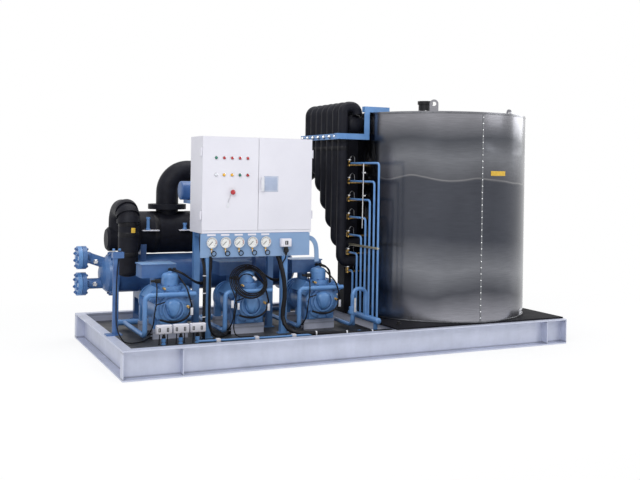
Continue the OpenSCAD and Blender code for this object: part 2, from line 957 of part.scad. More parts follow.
module suction_header() {
    straight = main_y - header_bend - header_front;
    color("#202228") placed() {
        translate([header_x, header_front + straight, header_z])
            rotate([90, 0, 0]) domed_bar(straight, header_d, header_dome);
        bend([header_x, main_y, header_z], [0, 1, 0], [0, 0, -1], header_d, header_bend);
        rod([header_x, main_y, joint_z], [header_x, main_y, header_z - header_bend], header_d);
    }
}

module accumulator_axis(extra) {
    along_x([accumulator_x, main_y, accumulator_z]) cylinder(h = accumulator_l, d = accumulator_d + extra);
}

module suction_main() {
    color("#202228") placed() difference() {
        union() {
            pipe([[header_x, main_y, joint_z], [header_x, main_y, main_z], [riser_x, main_y, main_z],
                  [riser_x, main_y, accumulator_z]], main_d, main_bend);
            translate([riser_x, main_y, accumulator_z + accumulator_d / 2 + collar_rise])
                cylinder(h = collar_t, d = collar_d);
        }
        accumulator_axis(2 * fit);
    }
}

module accumulator() {
    nozzle_l = accumulator_x + nozzle_in - nozzle_x;
    color("#202228") placed() {
        along_x([accumulator_x, main_y, accumulator_z])
            capsule(accumulator_l, accumulator_d, accumulator_dome);
        along_x([nozzle_x, main_y, nozzle_z])
            rotate_extrude()
                polygon([[0, 0], [nozzle_d / 2 - nozzle_round, 0], [nozzle_d / 2, nozzle_round],
                         [nozzle_d / 2, nozzle_l], [0, nozzle_l]]);
    }
}

module standpipe() {
    corner = [standpipe_x, standpipe_y, standpipe_top];
    far = [standpipe_x, main_y, standpipe_top];
    color("#202228") placed() difference() {
        union() {
            translate([standpipe_x, standpipe_y, standpipe_foot])
                mirror([0, 0, 1]) domed_bar(standpipe_foot - standpipe_bottom, standpipe_d, standpipe_dome);
            pipe([[standpipe_x, standpipe_y, standpipe_foot], corner, far, [standpipe_x, main_y, nozzle_z]],
                 standpipe_d, standpipe_bend);
            for (i = [0 : 2])
                bend(corner, [0, 0, 1], [0, 1, 0], standpipe_d + 2 * ring_out, standpipe_bend,
                     0.1 + 0.3 * i, 0.28 + 0.3 * i);
        }
        along_x([0, main_y, nozzle_z]) cylinder(h = 2 * standpipe_x, d = nozzle_d + 2 * fit);
    }
}

// Flat bar from the lid down past the header's end, with the rail that it carries
module header_bracket() {
    right = bracket_x + bracket_w;
    back = bracket_y + bracket_w;
    top = lid_top + bracket_w;
    far_y = suction_y(circuit_count - 1) + suction_d / 2 + rail_end;
    color("steelblue") placed() {
        block([bracket_x, bracket_y, lid_top + fit], [right + bracket_reach, back, top]);
        block([bracket_x, bracket_y, rail_z], [right, bracket_y + bracket_t, top]);
        block([rail_x - bracket_w, bracket_y, rail_z], [right, back, rail_z + bracket_w]);
        block([rail_x - bracket_t, bracket_y, rail_z], [rail_x, far_y, rail_z + bracket_w]);
        for (k = [0 : circuit_count - 1])
            block([rail_x, suction_y(k) - clip_w / 2, rail_z + bracket_gap],
                  [row_x - suction_d / 2 - fit, suction_y(k) + clip_w / 2, rail_z + bracket_w - bracket_gap]);
    }
}

// Liquid side

module liquid_header() {
    front = line_front - header_over;
    length = (circuit_count - 1) * line_pitch + 2 * header_over;
    color("steelblue") placed() {
        along_y([line_x, front, liquid_header_z]) capsule(length, liquid_header_d, header_end);
        for (y = [front + rest_in, front + length - rest_in])
            block([line_x - rest_w / 2, y - rest_t / 2, floor_z],
                  [line_x + rest_w / 2, y + rest_t / 2, liquid_header_z]);
    }
}

module liquid_line(k) {
    y = line_front + (circuit_count - 1 - k) * line_pitch;
    z = circuit_height(k) + valve_body_d / 2;
    pipe([[line_x, y, liquid_header_z], [line_x, y, z], [line_x, valve_y - valve_body_d / 2 - fit, z]],
         line_d, line_bend);
}

module liquid_lines() {
    color("steelblue") placed() difference() {
        for (k = [0 : circuit_count - 1])
            liquid_line(k);
        rod([line_x, 0, liquid_header_z], [line_x, skid_w, liquid_header_z], liquid_header_d + 2 * fit);
    }
}

module expansion_valve(k) {
    z = circuit_height(k);
    reach = tank_x - sqrt(pow(tank_d / 2, 2) - pow(valve_y - tank_y, 2));
    translate([line_x, valve_y, z - valve_body_h / 4]) cylinder(h = valve_body_h, d = valve_body_d);
    translate([line_x, valve_y, z + valve_body_h * 0.75]) cylinder(h = valve_stem_h, d = valve_body_d * 0.6);
    translate([line_x, valve_y, z + valve_body_h * 0.75 + valve_stem_h])
        cylinder(h = valve_cap_h, d = valve_cap_d);
    rod([line_x, valve_y, z], [reach - 1, valve_y, z], line_d);
}

module expansion_valves() {
    color("darkgoldenrod") placed()
        for (k = [0 : circuit_count - 1])
            expansion_valve(k);
}

module feed_pipe() {
    outlet = [stand_right + outlet_right, condenser_y, condenser_z];
    stem_z = ball_z + ball_h / 2;
    color("steelblue") placed() difference() {
        union() {
            pipe([outlet, [outlet.x, condenser_y, feed_low], [feed_x, condenser_y, feed_low],
                  [feed_x, feed_y, feed_low], [feed_x, feed_y, feed_top], [line_x, feed_y, feed_top],
                  [line_x, feed_y, liquid_header_z]], feed_d, feed_bend);
            translate([feed_x, feed_y, ball_z]) cylinder(h = ball_h, d = ball_d);
            rod([feed_x, feed_y, stem_z], [feed_x, feed_y - ball_d / 2 - stem_out, stem_z], stem_d);
        }
        rod([line_x, 0, liquid_header_z], [line_x, skid_w, liquid_header_z], liquid_header_d + 2 * fit);
        condenser_space();
    }
}

module valve_lever() {
    back = feed_y - ball_d / 2 - stem_out - fit;
    z = ball_z + ball_h / 2;
    color("silver") placed() {
        block([feed_x - lever_w / 2, back - lever_t, z - lever_w / 2],
              [feed_x + lever_w / 2, back, z + lever_l]);
        along_front([feed_x, back, z]) cylinder(h = lever_t + lever_nut_h, d = lever_w + 8);
    }
}

// Compressors

module at_compressors() {
    placed()
        for (i = [0 : 2])
            translate([compressor_axis(i), compressor_y, axle_z]) children();
}

module motor_ribs() {
    step = (barrel_l - 2 * rib_margin) / rib_count;
    for (i = [0 : rib_count - 1])
        along_y([0, crankcase_l + rib_margin + i * step, 0]) cylinder(h = rib_t, d = barrel_d + 2 * rib_out);
}

// A semi-hermetic casting with two cylinder banks, pads and feet
module compressor_casting() {
    valve_z = discharge_z - axle_z;
    along_y([0, 0, 0]) cylinder(h = crankcase_l, d = crankcase_d);
    along_y([0, crankcase_l - sink, 0]) cylinder(h = barrel_l + sink, d = barrel_d);
    motor_ribs();
    along_y([0, crankcase_l + barrel_l - sink, 0]) cylinder(h = rear_cap_l, d = rear_cap_d);
    block([-sump_w / 2, sump_inset, -crankcase_d / 2 - sump_drop], [sump_w / 2, crankcase_l - sump_inset, 0]);
    for (a = [-bank_angle, bank_angle])
        rotate([0, a, 0])
            block([-bank_w / 2, bank_front, 0], [bank_w / 2, bank_front + bank_l, bank_r]);
    translate([0, head_y, 0]) cylinder(h = head_seat, d = head_flange_d);
    translate([box_w / 2 - box_left, box_front + box_l / 2, 0]) cylinder(h = box_seat, d = pedestal_d);
    block([valve_block_x, discharge_y - compressor_y + discharge_d / 2 + fit, valve_z - valve_block_h / 2],
          [valve_block_x + valve_block_w, valve_block_back, valve_z + valve_block_h / 2]);
    for (x = [-foot_x, foot_x], y = [foot_front, foot_rear])
        block([x - foot_w / 2, y, -axle_h], [x + foot_w / 2, y + foot_l, -foot_top]);
}

module compressors() {
    color("steelblue") at_compressors() compressor_casting();
}

// A flanged head, straight sided with a rounded top
module head_dome(steps = 4) {
    flat = head_d / 2 - head_round;
    side = head_flange_t + head_h - head_round;
    arc = [for (i = [0 : steps]) let (a = 90 * i / steps)
           [flat + head_round * cos(a), side + head_round * sin(a)]];
    rotate_extrude()
        polygon(concat([[0, 0], [head_flange_d / 2, 0], [head_flange_d / 2, head_flange_t],
                        [head_d / 2, head_flange_t]], arc, [[0, side + head_round]]));
}

module cylinder_heads() {
    color("cornflowerblue") at_compressors() {
        translate([0, head_y, head_seat]) head_dome();
        for (a = [-bank_angle, bank_angle])
            rotate([0, a, 0])
                block([-bank_w / 2 + bank_cap_margin, bank_front + bank_cap_margin, bank_r],
                      [bank_w / 2 - bank_cap_margin, bank_front + bank_l - bank_cap_margin, bank_r + bank_cap_t]);
    }
}

module terminal_boxes() {
    color("cornflowerblue") at_compressors() translate([-box_left, box_front, box_seat]) {
        cube([box_w, box_l, box_h]);
        translate([-box_lid_out, -box_lid_out, box_h])
            cube([box_w + 2 * box_lid_out, box_l + 2 * box_lid_out, box_lid_t]);
        for (z = gland_heights)
            along_x([box_w - sink, gland_y, z]) cylinder(h = gland_l, d = gland_d);
    }
}

// A bolted cover with a raised ring and a hub with a shallow eye
module end_covers() {
    bolt_r = cover_d / 2 - cover_margin;
    color("steelblue") at_compressors() {
        along_front([0, 0, 0]) {
            cylinder(h = cover_t, d = cover_d);
            translate([0, 0, cover_t - sink])
                ring(cover_ring_d, cover_ring_d - 2 * cover_ring_w, cover_ring_h - cover_t + sink);
            translate([0, 0, cover_t - sink])
                ring(cover_hub_d, cover_eye_d, cover_hub_h - cover_t + sink);
        }
        for (i = [0 : cover_bolts - 1])
            rotate([0, 360 * (i + 0.5) / cover_bolts, 0])
                along_front([bolt_r, sink - cover_t, 0])
                    cylinder(h = cover_bolt_h + sink, d = cover_bolt_d, $fn = 6);
    }
}

module discharge_route(i) {
    x = compressor_axis(i);
    left = x - discharge_left;
    pipe([[x + discharge_right, discharge_y, discharge_z], [left, discharge_y, discharge_z],
          [left, discharge_y, discharge_low], [left, collector_y, discharge_low]], discharge_d, discharge_bend);
}

module discharge_pipes() {
    first = compressor_axis(0) - discharge_left;
    last = compressor_axis(2) - discharge_left;
    color("steelblue") placed() {
        for (i = [0 : 2])
            discharge_route(i);
        rod([first - collector_d, collector_y, discharge_low], [last, collector_y, discharge_low], collector_d);
        pipe([[last, collector_y, discharge_low], [last, collector_y, separator_z],
              [last, separator_y, separator_z], [separator_x + separator_l + fit, separator_y, separator_z]], discharge_d, discharge_bend);
    }
}

// Condenser and vessels

module condenser_shell() {
    color("steelblue") placed() along_x([condenser_x - tube_plate_t, condenser_y, condenser_z]) {
        cylinder(h = tube_plate_t, d = tube_plate_d);
        translate([0, 0, tube_plate_t - sink]) cylinder(h = condenser_l + 2 * sink, d = condenser_d);
        translate([0, 0, tube_plate_t + condenser_l]) cylinder(h = tube_plate_t, d = tube_plate_d);
    }
}

// The condenser shell's space, with clearance for what seats on it
module condenser_space() {
    along_x([0, condenser_y, condenser_z]) cylinder(h = skid_l, d = condenser_d + 2 * fit);
}

// A dished end cover with its bolting flange, domed towards +Z
module end_bell(steps = 5) {
    r = condenser_d / 2;
    arc = [for (i = [0 : steps]) let (a = 90 * i / steps) [r * cos(a), bell_flange_t + bell_l * sin(a)]];
    rotate_extrude()
        polygon(concat([[0, 0], [tube_plate_d / 2, 0], [tube_plate_d / 2, bell_flange_t]], arc));
}

module lower_stub() {
    rod([fixed_flange_x, condenser_y, water_lower_z], [bell_left + bell_l, condenser_y, water_lower_z], stub_d);
}

// A straight neck, a cast elbow and a slanted run into the bell
module upper_stub() {
    corner = [fixed_flange_x + stub_straight, condenser_y, water_upper_z];
    rod([fixed_flange_x, condenser_y, water_upper_z], corner, stub_d);
    translate(corner) sphere(d = elbow_d);
    rod(corner, [bell_left + bell_l, condenser_y, condenser_z + stub_rise], stub_d);
}

module bolt_places(x, z) {
    for (i = [0 : bolt_count - 1])
        translate([x, condenser_y, z])
            rotate([360 * (i + 0.5) / bolt_count, 0, 0])
                along_x([0, 0, bolt_circle / 2]) children();
}

module condenser_covers() {
    color("steelblue") placed() {
        difference() {
            union() {
                translate([condenser_x - tube_plate_t, condenser_y, condenser_z]) rotate([0, -90, 0]) end_bell();
                upper_stub();
                lower_stub();
                for (z = [water_upper_z, water_lower_z])
                    along_x([fixed_flange_x, condenser_y, z]) cylinder(h = flange_t, d = water_flange_d);
            }
            for (z = [water_upper_z, water_lower_z]) {
                along_x([fixed_flange_x - sink, condenser_y, z]) cylinder(h = stub_straight, d = water_bore);
                bolt_places(fixed_flange_x - sink, z) cylinder(h = flange_t + 2 * sink, d = bolt_d + 2 * fit);
            }
        }
        along_x([condenser_x + condenser_l + tube_plate_t, condenser_y, condenser_z]) end_bell();
    }
}

// A loose flange for the water pipe, with a raised sealing face
module counter_flange(z) {
    difference() {
        along_x([flange_left, condenser_y, z]) {
            cylinder(h = flange_t, d = water_flange_d);
            cylinder(h = flange_t + gasket_t, d = raised_face_d);
        }
        along_x([flange_left - sink, condenser_y, z])
            cylinder(h = flange_t + gasket_t + 2 * sink, d = water_bore);
        bolt_places(flange_left - sink, z) cylinder(h = flange_t + 2 * sink, d = bolt_d + 2 * fit);
    }
}

module counter_flanges() {
    color("steelblue") placed()
        for (z = [water_upper_z, water_lower_z])
            counter_flange(z);
}

module flange_bolt() {
    span = 2 * flange_t + gasket_t;
    translate([0, 0, -bolt_out]) cylinder(h = span + 2 * bolt_out, d = bolt_d);
    for (z = [-nut_h, span])
        translate([0, 0, z]) cylinder(h = nut_h, d = nut_d, $fn = 6);
}

module flange_bolts() {
    color("lightgray") placed()
        for (z = [water_upper_z, water_lower_z])
            bolt_places(flange_left, z) flange_bolt();
}

// A plate stand with a window, cut to the condenser's round
module condenser_stand(x) {
    front = condenser_y - stand_w / 2;
    back = condenser_y + stand_w / 2;
    difference() {
        union() {
            block([x - stand_t / 2, front, floor_z], [x + stand_t / 2, back, condenser_z]);
            block([x - stand_t, front - stand_foot_out, floor_z], [x + stand_t, back, floor_z + stand_foot_t]);
        }
        block([x - stand_t, front + stand_window, floor_z + stand_sill],
              [x + stand_t, back - stand_window, condenser_z - condenser_d / 2 - stand_sill]);
        condenser_space();
    }
}

// Two blocks between the condenser and the accumulator above it
module vessel_saddle(x) {
    difference() {
        block([x - stand_t / 2, condenser_y - saddle_w / 2, condenser_z + saddle_wrap],
              [x + stand_t / 2, condenser_y + saddle_w / 2, accumulator_z - saddle_wrap]);
        block([x - stand_t, condenser_y - saddle_gap / 2, condenser_z],
              [x + stand_t, condenser_y + saddle_gap, accumulator_z]);
        condenser_space();
        accumulator_axis(2 * fit);
    }
}

// A round post on the left rail with a clamp on its top
module rail_post() {
    block([post_x + post_d - post_foot.x, post_y - post_foot.y / 2, skid_h],
          [post_x + post_d, post_y + post_foot.y / 2, skid_h + post_foot.z]);
    translate([post_x, post_y, skid_h]) cylinder(h = post_top - skid_h, d = post_d);
    translate([post_x - post_clamp.y / 2, post_y - post_clamp.y / 2, post_top - post_clamp.z + foot_plate_t])
        cube(post_clamp);
}

module support_posts() {
    color("steelblue") placed() {
        for (x = [stand_left, stand_right]) {
            condenser_stand(x);
            vessel_saddle(x);
        }
        rail_post();
    }
}

// The separator with the gas line that drops from it to the condenser
module oil_separator() {
    color("royalblue") placed() difference() {
        union() {
            along_x([separator_x, separator_y, separator_z]) capsule(separator_l, separator_d, separator_dome);
            pipe([[drop_x, separator_y, separator_z], [drop_x, separator_y, condenser_z],
                  [drop_x, condenser_y, condenser_z]], discharge_d, discharge_bend);
        }
        condenser_space();
    }
}

// Cabinet

// The fixed half of a hinge at a cabinet's left side, with its pin
module fixed_hinge(z) {
    translate([cabinet_x - hinge_out, hinge_y, z]) {
        cylinder(h = hinge_h, d = hinge_d);
        cylinder(h = 2 * hinge_h - hinge_t, d = hinge_pin_d);
    }
    block([cabinet_x - hinge_t, hinge_y, z], [cabinet_x, body_y + hinge_h, z + hinge_h]);
    block([cabinet_x - hinge_out, hinge_y, z], [cabinet_x - hinge_t + sink, hinge_y + hinge_d / 2, z + hinge_h]);
}

module mirrored_pair() {
    children();
    translate([2 * split_x, 0, 0]) mirror([1, 0, 0]) children();
}

module louvre_slots() {
    for (i = [0 : louvre_count - 1])
        translate([cabinet_x - sink, body_y + (cabinet_d - louvre_w) / 2, louvre_z + i * louvre_pitch])
            cube([cabinet_wall + 2 * sink, louvre_w, louvre_h]);
}

module cabinet_body() {
    color("white") placed() {
        difference() {
            block([cabinet_x, body_y, cabinet_z], [cabinet_x + cabinet_w, body_back, cabinet_z + cabinet_h]);
            block([cabinet_x + cabinet_wall, body_y - sink, cabinet_z + plinth_h],
                  [cabinet_x + cabinet_w - cabinet_wall, body_back - cabinet_wall,
                   cabinet_z + cabinet_h - cabinet_wall]);
            louvre_slots();
        }
        block([cabinet_x, cabinet_y, cabinet_z], [cabinet_x + cabinet_w, body_y + sink, cabinet_z + plinth_h]);
        mirrored_pair()
            for (z = hinge_heights)
                fixed_hinge(z);
    }
}

// The moving half of a hinge, bored for the pin
module door_knuckle(z, door_edge) {
    low = z + hinge_h + run_gap;
    difference() {
        union() {
            translate([cabinet_x - hinge_out, hinge_y, low]) cylinder(h = hinge_h, d = hinge_d);
            block([cabinet_x - hinge_out, hinge_y - hinge_t / 2, low],
                  [door_edge + sink, hinge_y + hinge_t / 2, low + hinge_h]);
        }
        translate([cabinet_x - hinge_out, hinge_y, z])
            cylinder(h = 3 * hinge_h, d = hinge_pin_d + 2 * hinge_fit);
    }
}

// A door folded from sheet, hinged on the left
module door_pan() {
    x = cabinet_x + door_gap / 2;
    difference() {
        translate([x, cabinet_y, door_z]) cube([door_w, door_t, door_h]);
        translate([x + door_skin, cabinet_y + door_skin, door_z + door_skin])
            cube([door_w - 2 * door_skin, door_t, door_h - 2 * door_skin]);
    }
    for (z = hinge_heights)
        door_knuckle(z, x);
}

function button_x(i) = lamp_x + i * lamp_pitch;

module door_hole(x, z, d) {
    along_y([x, cabinet_y - sink, z]) cylinder(h = door_skin + 2 * sink, d = d + 2 * run_gap);
}

module left_door() {
    color("white") placed() difference() {
        door_pan();
        for (i = [3, 4])
            door_hole(button_x(i), lamp_row_2, button_d);
        door_hole(mushroom_x, mushroom_z, button_d);
    }
}

module right_door() {
    color("white") placed() {
        difference() {
            translate([2 * split_x, 0, 0]) mirror([1, 0, 0]) door_pan();
            door_hole(latch_x, latch_z, latch_spindle_d);
        }
        block([plate_x, cabinet_y - plate_t, plate_z], [plate_x + plate_w, cabinet_y, plate_z + plate_h]);
    }
}

// A lever on a round base, its spindle through the door and a cam behind
module door_latch() {
    base_y = cabinet_y - run_gap;
    lever_y = base_y - latch_base_t;
    cam_y = cabinet_y + door_skin + cam_gap;
    color("whitesmoke") placed() {
        along_front([latch_x, base_y, latch_z]) cylinder(h = latch_base_t, d = latch_w);
        along_y([latch_x, base_y - sink, latch_z])
            cylinder(h = cam_y + cam_t - base_y + sink, d = latch_spindle_d);
        block([latch_x - latch_w / 2, lever_y - latch_t, latch_z - latch_l + latch_w / 2],
              [latch_x + latch_w / 2, lever_y + sink, latch_z + latch_w / 2]);
        block([latch_x - cam_w / 2, cam_y, latch_z - cam_l],
              [latch_x + cam_w / 2, cam_y + cam_t, latch_z + cam_w / 2]);
    }
}

// A row of equal devices on the mounting plate's front
module device_row(place, size, pitch, count) {
    for (i = [0 : count - 1])
        translate(place + [i * pitch, -size.y, 0]) cube(size + [0, sink, 0]);
}

// A plate on studs with breakers, contactors, terminals and ducts
module switchgear() {
    back = body_back - cabinet_wall - gear_plate_gap;
    left = cabinet_x + gear_margin;
    right = cabinet_x + cabinet_w - gear_margin;
    low = cabinet_z + plinth_h + gear_margin;
    top = cabinet_z + cabinet_h - gear_margin;
    front = back - gear_plate_t;
    breaker_z = top - gear_margin - breaker_size.z;
    upper_duct_z = breaker_z - 1.5 * duct_h;
    contactor_z = upper_duct_z - duct_h / 2 - contactor_size.z;
    lower_duct_z = contactor_z - 1.5 * duct_h;
    terminal_z = low + gear_margin;
    color("lightgray") placed() {
        block([left, front, low], [right, back, top]);
        for (x = [left + gear_margin, right - gear_margin], z = [low + gear_stud_d, top - gear_stud_d])
            along_y([x, back - sink, z]) cylinder(h = gear_plate_gap + sink, d = gear_stud_d);
        device_row([left + gear_margin, front, breaker_z], breaker_size, breaker_pitch, breaker_count);
        device_row([left + gear_margin, front, contactor_z], contactor_size, contactor_pitch, contactor_count);
        for (z = [upper_duct_z, lower_duct_z])
            block([left + gear_margin, front - duct_out, z], [right - gear_margin, front + sink, z + duct_h]);
        block([left + gear_margin, front - terminal_out, terminal_z],
              [right - gear_margin, front + sink, terminal_z + terminal_h]);
    }
}

// A lamp's bezel and lens on the door's face, domed to the front
module pilot_lamp(x, z, steps = 4) {
    lens_r = lamp_d / 2 - bezel_w;
    arc = [for (i = [0 : steps]) let (a = 90 * i / steps)
           [lens_r * cos(a), lamp_out + (lens_out - lamp_out) * sin(a)]];
    along_front([x, cabinet_y, z])
        rotate_extrude()
            polygon(concat([[0, 0], [lamp_d / 2, 0], [lamp_d / 2, lamp_out]], arc));
}

// A ring round a push button on the door's face
module button_ring(x, z) {
    along_front([x, cabinet_y, z])
        ring(lamp_d + bezel_w, button_d + 2 * run_gap, lamp_out);
}

module pilot_lamps() {
    color("gainsboro") placed() {
        for (i = [0 : 4])
            pilot_lamp(button_x(i), lamp_row_1);
        for (i = [0 : 2])
            pilot_lamp(button_x(i), lamp_row_2);
        for (i = [3, 4])
            button_ring(button_x(i), lamp_row_2);
        button_ring(mushroom_x, mushroom_z);
    }
}

// A button's plunger through the door, with a collar behind the skin
module plunger(x, z, out) {
    along_y([x, cabinet_y - out, z]) cylinder(h = out + button_in, d = button_d);
    along_y([x, cabinet_y + door_skin + collar_gap, z])
        cylinder(h = button_in - door_skin - collar_gap, d = button_d + 2 * button_collar);
}

module start_button() {
    color("green") placed() plunger(button_x(3), lamp_row_2, button_out);
}

module stop_button() {
    color("red") placed() plunger(button_x(4), lamp_row_2, button_out);
}

module emergency_button(steps = 4) {
    r = mushroom_d / 2;
    edge = mushroom_cap / 4;
    arc = [for (i = [0 : steps]) let (a = 90 * i / steps) [r * cos(a), edge + (mushroom_cap - edge) * sin(a)]];
    color("red") placed() {
        plunger(mushroom_x, mushroom_z, mushroom_out - mushroom_cap + sink);
        along_front([mushroom_x, cabinet_y - mushroom_out + mushroom_cap, mushroom_z])
            rotate_extrude()
                polygon(concat([[0, 0], [r - edge, 0]], arc));
    }
}

module frame_post(x, y, top) {
    block([x, y, floor_z], [x + frame_w, y + frame_w, top]);
    block([x - foot_plate_out, y, floor_z], [x + frame_w + foot_plate_out, y + frame_w, floor_z + foot_plate_t]);
}

// Four posts, the bearers under the cabinet and the carriers under the separator
module cabinet_frame() {
    bearer = cabinet_z - frame_h;
    color("steelblue") placed() {
        for (x = [frame_left, frame_right]) {
            frame_post(x, frame_front, bearer + sink);
            frame_post(x, frame_rear, rear_post_top + sink);
            block([x, frame_front, bearer], [x + frame_w, frame_rear + sink, cabinet_z]);
            block([x, frame_rear, rear_post_top],
                  [x + frame_w, separator_y + carrier_out, rear_post_top + carrier_h - fit]);
        }
        block([cabinet_x + foot_plate_out, frame_front, bearer],
              [cabinet_x + cabinet_w - foot_plate_out, frame_front + frame_w, cabinet_z]);
    }
}

// Gauges and instruments

function gauge_place(i) = [gauge_x + i * gauge_pitch, panel_y, gauge_z];

module gauge_panel() {
    color("lightskyblue") placed()
        translate([panel_x, panel_y, panel_z]) cube([panel_w, panel_t, panel_h]);
}

// A gauge's case with a recessed dial, and its stem below
module pressure_gauge() {
    difference() {
        cylinder(h = gauge_front, d = gauge_d);
        translate([0, 0, gauge_front - gauge_recess]) cylinder(h = gauge_front, d = gauge_d - 2 * gauge_rim);
    }
    translate([0, sink - gauge_d / 2, gauge_front / 2])
        rotate([90, 0, 0])
            cylinder(h = gauge_stem_l, d = gauge_stem_d);
}

module pressure_gauges() {
    color("gainsboro") placed()
        for (i = [0 : gauge_count - 1])
            along_front(gauge_place(i)) pressure_gauge();
}

// A needle on its spindle, at rest on the dial's zero, lower left
module gauge_needle(i) {
    dial = gauge_front - gauge_recess;
    color("black") placed() along_front(gauge_place(i)) {
        translate([0, 0, dial + fit]) cylinder(h = needle_gap + needle_t, d = spindle_d);
        rotate([0, 0, 225])
            translate([-needle_tail, -needle_w / 2, dial + needle_gap])
                cube([needle_l + needle_tail, needle_w, needle_t]);
    }
}

module gauge_needle_1() gauge_needle(0);
module gauge_needle_2() gauge_needle(1);
module gauge_needle_3() gauge_needle(2);
module gauge_needle_4() gauge_needle(3);
module gauge_needle_5() gauge_needle(4);

// A control box on a fitting column that stands on the floor
module control_box(x) {
    translate([x, control_y, floor_z + control_rise]) cube(control_size);
    translate([x + control_size.x / 2, control_y + control_size.y / 2, floor_z]) {
        cylinder(h = control_rise + sink, d = column_d);
        translate([0, 0, union_z]) cylinder(h = union_h, d = union_d, $fn = 6);
    }
}

module instruments() {
    color("whitesmoke") placed() {
        for (i = [0 : 2])
            control_box(control_x + i * control_pitch);
        translate([switch_x, panel_y - switch_size.y, switch_z]) cube(switch_size);
        for (i = [0 : gauge_count - 1])
            along_front([gauge_x + i * gauge_pitch + loop_r, panel_y - loop_d / 2 - fit, loop_z])
                rotate_extrude() translate([loop_r, 0]) circle(d = loop_d);
    }
}

// Cables

// A point of a smooth curve through the route, past point i
function curve(p, i, t) =
    let (a = p[max(i - 1, 0)], b = p[i], c = p[i + 1], d = p[min(i + 2, len(p) - 1)])
    (2 * b + (c - a) * t + (2 * a - 5 * b + 4 * c - d) * t * t + (3 * b - a - 3 * c + d) * t * t * t) / 2;

function smooth(p, steps) = concat(
    [for (i = [0 : len(p) - 2], k = [0 : steps - 1]) curve(p, i, k / steps)], [p[len(p) - 1]]);

// The direction of a smoothed route at ring i
function heading(p, q, i) =
    i == 0 ? unit(p[1] - p[0]) :
    i == len(q) - 1 ? unit(p[len(p) - 1] - p[len(p) - 2]) : unit(q[i + 1] - q[i - 1]);

function cord_points(p, q, d, sides) = [
    for (i = [0 : len(q) - 1])
        let (t = heading(p, q, i), a = unit(cross(t, [0, 1, 0])), b = cross(t, a))
        for (k = [0 : sides - 1])
            q[i] + d / 2 * (cos(360 * k / sides) * a + sin(360 * k / sides) * b)
];

function cord_sides(rings, sides) = [
    for (i = [0 : rings - 2], k = [0 : sides - 1], half = [0, 1])
        let (here = i * sides + k, next = i * sides + (k + 1) % sides)
        half == 0 ? [here, here + sides, next + sides] : [here, next + sides, next]
];

// A cable of many flats along a smoothed route
module cord(p, d, sides, steps) {
    q = smooth(p, steps);
    near = [for (k = [0 : sides - 1]) k];
    far = [for (k = [0 : sides - 1]) len(q) * sides - 1 - k];
    polyhedron(cord_points(p, q, d, sides), concat([near], cord_sides(len(q), sides), [far]));
}

module power_cables() {
    color("#17181c") placed() {
        cord(cable_route, cable_d, cable_sides, cable_steps);
        cord(side_cable_route, side_cable_d, side_cable_sides, cable_steps);
    }
}

module cable_coil() {
    color("#17181c") placed()
        translate(coil_place) rotate([coil_tilt, 0, 0])
            rotate_extrude() translate([coil_r, 0]) circle(d = coil_d);
}

module cable_lead() {
    color("#17181c") placed() cord(lead_route, lead_d, lead_sides, lead_steps);
}

front_rail();
rear_rail();
left_rail();
right_rail();
cross_members();
floor_plate();
base_sheet();
tank_jacket();
evaporator_drum();
tank_lid();
gear_case();
drive_motor();
rotor_shaft();
ice_scraper();
water_distributor();
drum_base();
suction_pipes();
inlet_cover();
suction_header();
suction_main();
accumulator();
standpipe();
header_bracket();
liquid_header();
liquid_lines();
expansion_valves();
feed_pipe();
valve_lever();
compressors();
cylinder_heads();
terminal_boxes();
end_covers();
discharge_pipes();
condenser_shell();
condenser_covers();
counter_flanges();
flange_bolts();
support_posts();
oil_separator();
cabinet_body();
left_door();
right_door();
door_latch();
switchgear();
pilot_lamps();
start_button();
stop_button();
emergency_button();
cabinet_frame();
gauge_panel();
pressure_gauges();
gauge_needle_1();
gauge_needle_2();
gauge_needle_3();
gauge_needle_4();
gauge_needle_5();
instruments();
power_cables();
cable_coil();
cable_lead();
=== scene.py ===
"""Looks of the flake ice machine: camera, light, cords, materials and small detail on the CAD frame."""

import json
from math import cos, pi, radians, sin

import bmesh
import bpy
from mathutils import Matrix, Vector


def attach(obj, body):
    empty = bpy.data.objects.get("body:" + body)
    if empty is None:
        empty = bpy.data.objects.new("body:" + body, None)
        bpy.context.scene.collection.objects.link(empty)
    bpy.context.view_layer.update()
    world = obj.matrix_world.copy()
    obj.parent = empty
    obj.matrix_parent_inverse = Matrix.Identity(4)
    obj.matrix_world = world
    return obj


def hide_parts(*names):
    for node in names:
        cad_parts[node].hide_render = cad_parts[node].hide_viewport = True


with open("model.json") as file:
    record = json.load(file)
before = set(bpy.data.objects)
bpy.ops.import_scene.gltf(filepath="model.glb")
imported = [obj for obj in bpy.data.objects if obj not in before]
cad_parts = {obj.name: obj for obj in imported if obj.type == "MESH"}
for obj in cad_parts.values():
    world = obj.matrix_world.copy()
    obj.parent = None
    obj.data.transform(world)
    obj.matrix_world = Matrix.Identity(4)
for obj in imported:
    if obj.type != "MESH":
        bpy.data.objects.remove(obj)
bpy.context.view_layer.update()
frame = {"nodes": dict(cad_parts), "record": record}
nodes = frame["nodes"]
scene = bpy.context.scene

# Plan of the machine in metres. The row frame's origin lies under the middle of the skid;
# plan points are counted from the skid's front left bottom corner, as in the part's source.
PLAN_ORIGIN = Vector((1.975, 0.915, 0.0))
TANK_X, TANK_Y, TANK_R = 3.156, 0.85, 0.8
TANK_LOW, TANK_TOP = 0.232, 2.039
FLOOR_TOP = 0.15
RAIL_TOP = 0.22
COMPRESSORS_X = (0.55, 1.212, 1.874)
CASTING_Y, AXLE_Z = 0.66, 0.398
DOOR_Y = 0.6
CABINET_Z = 0.997
PANEL_Y = 0.602
FRONT, BACK = (0, -1, 0), (0, 1, 0)
LEFT, RIGHT = (-1, 0, 0), (1, 0, 0)
DOWN, UP = (0, 0, -1), (0, 0, 1)


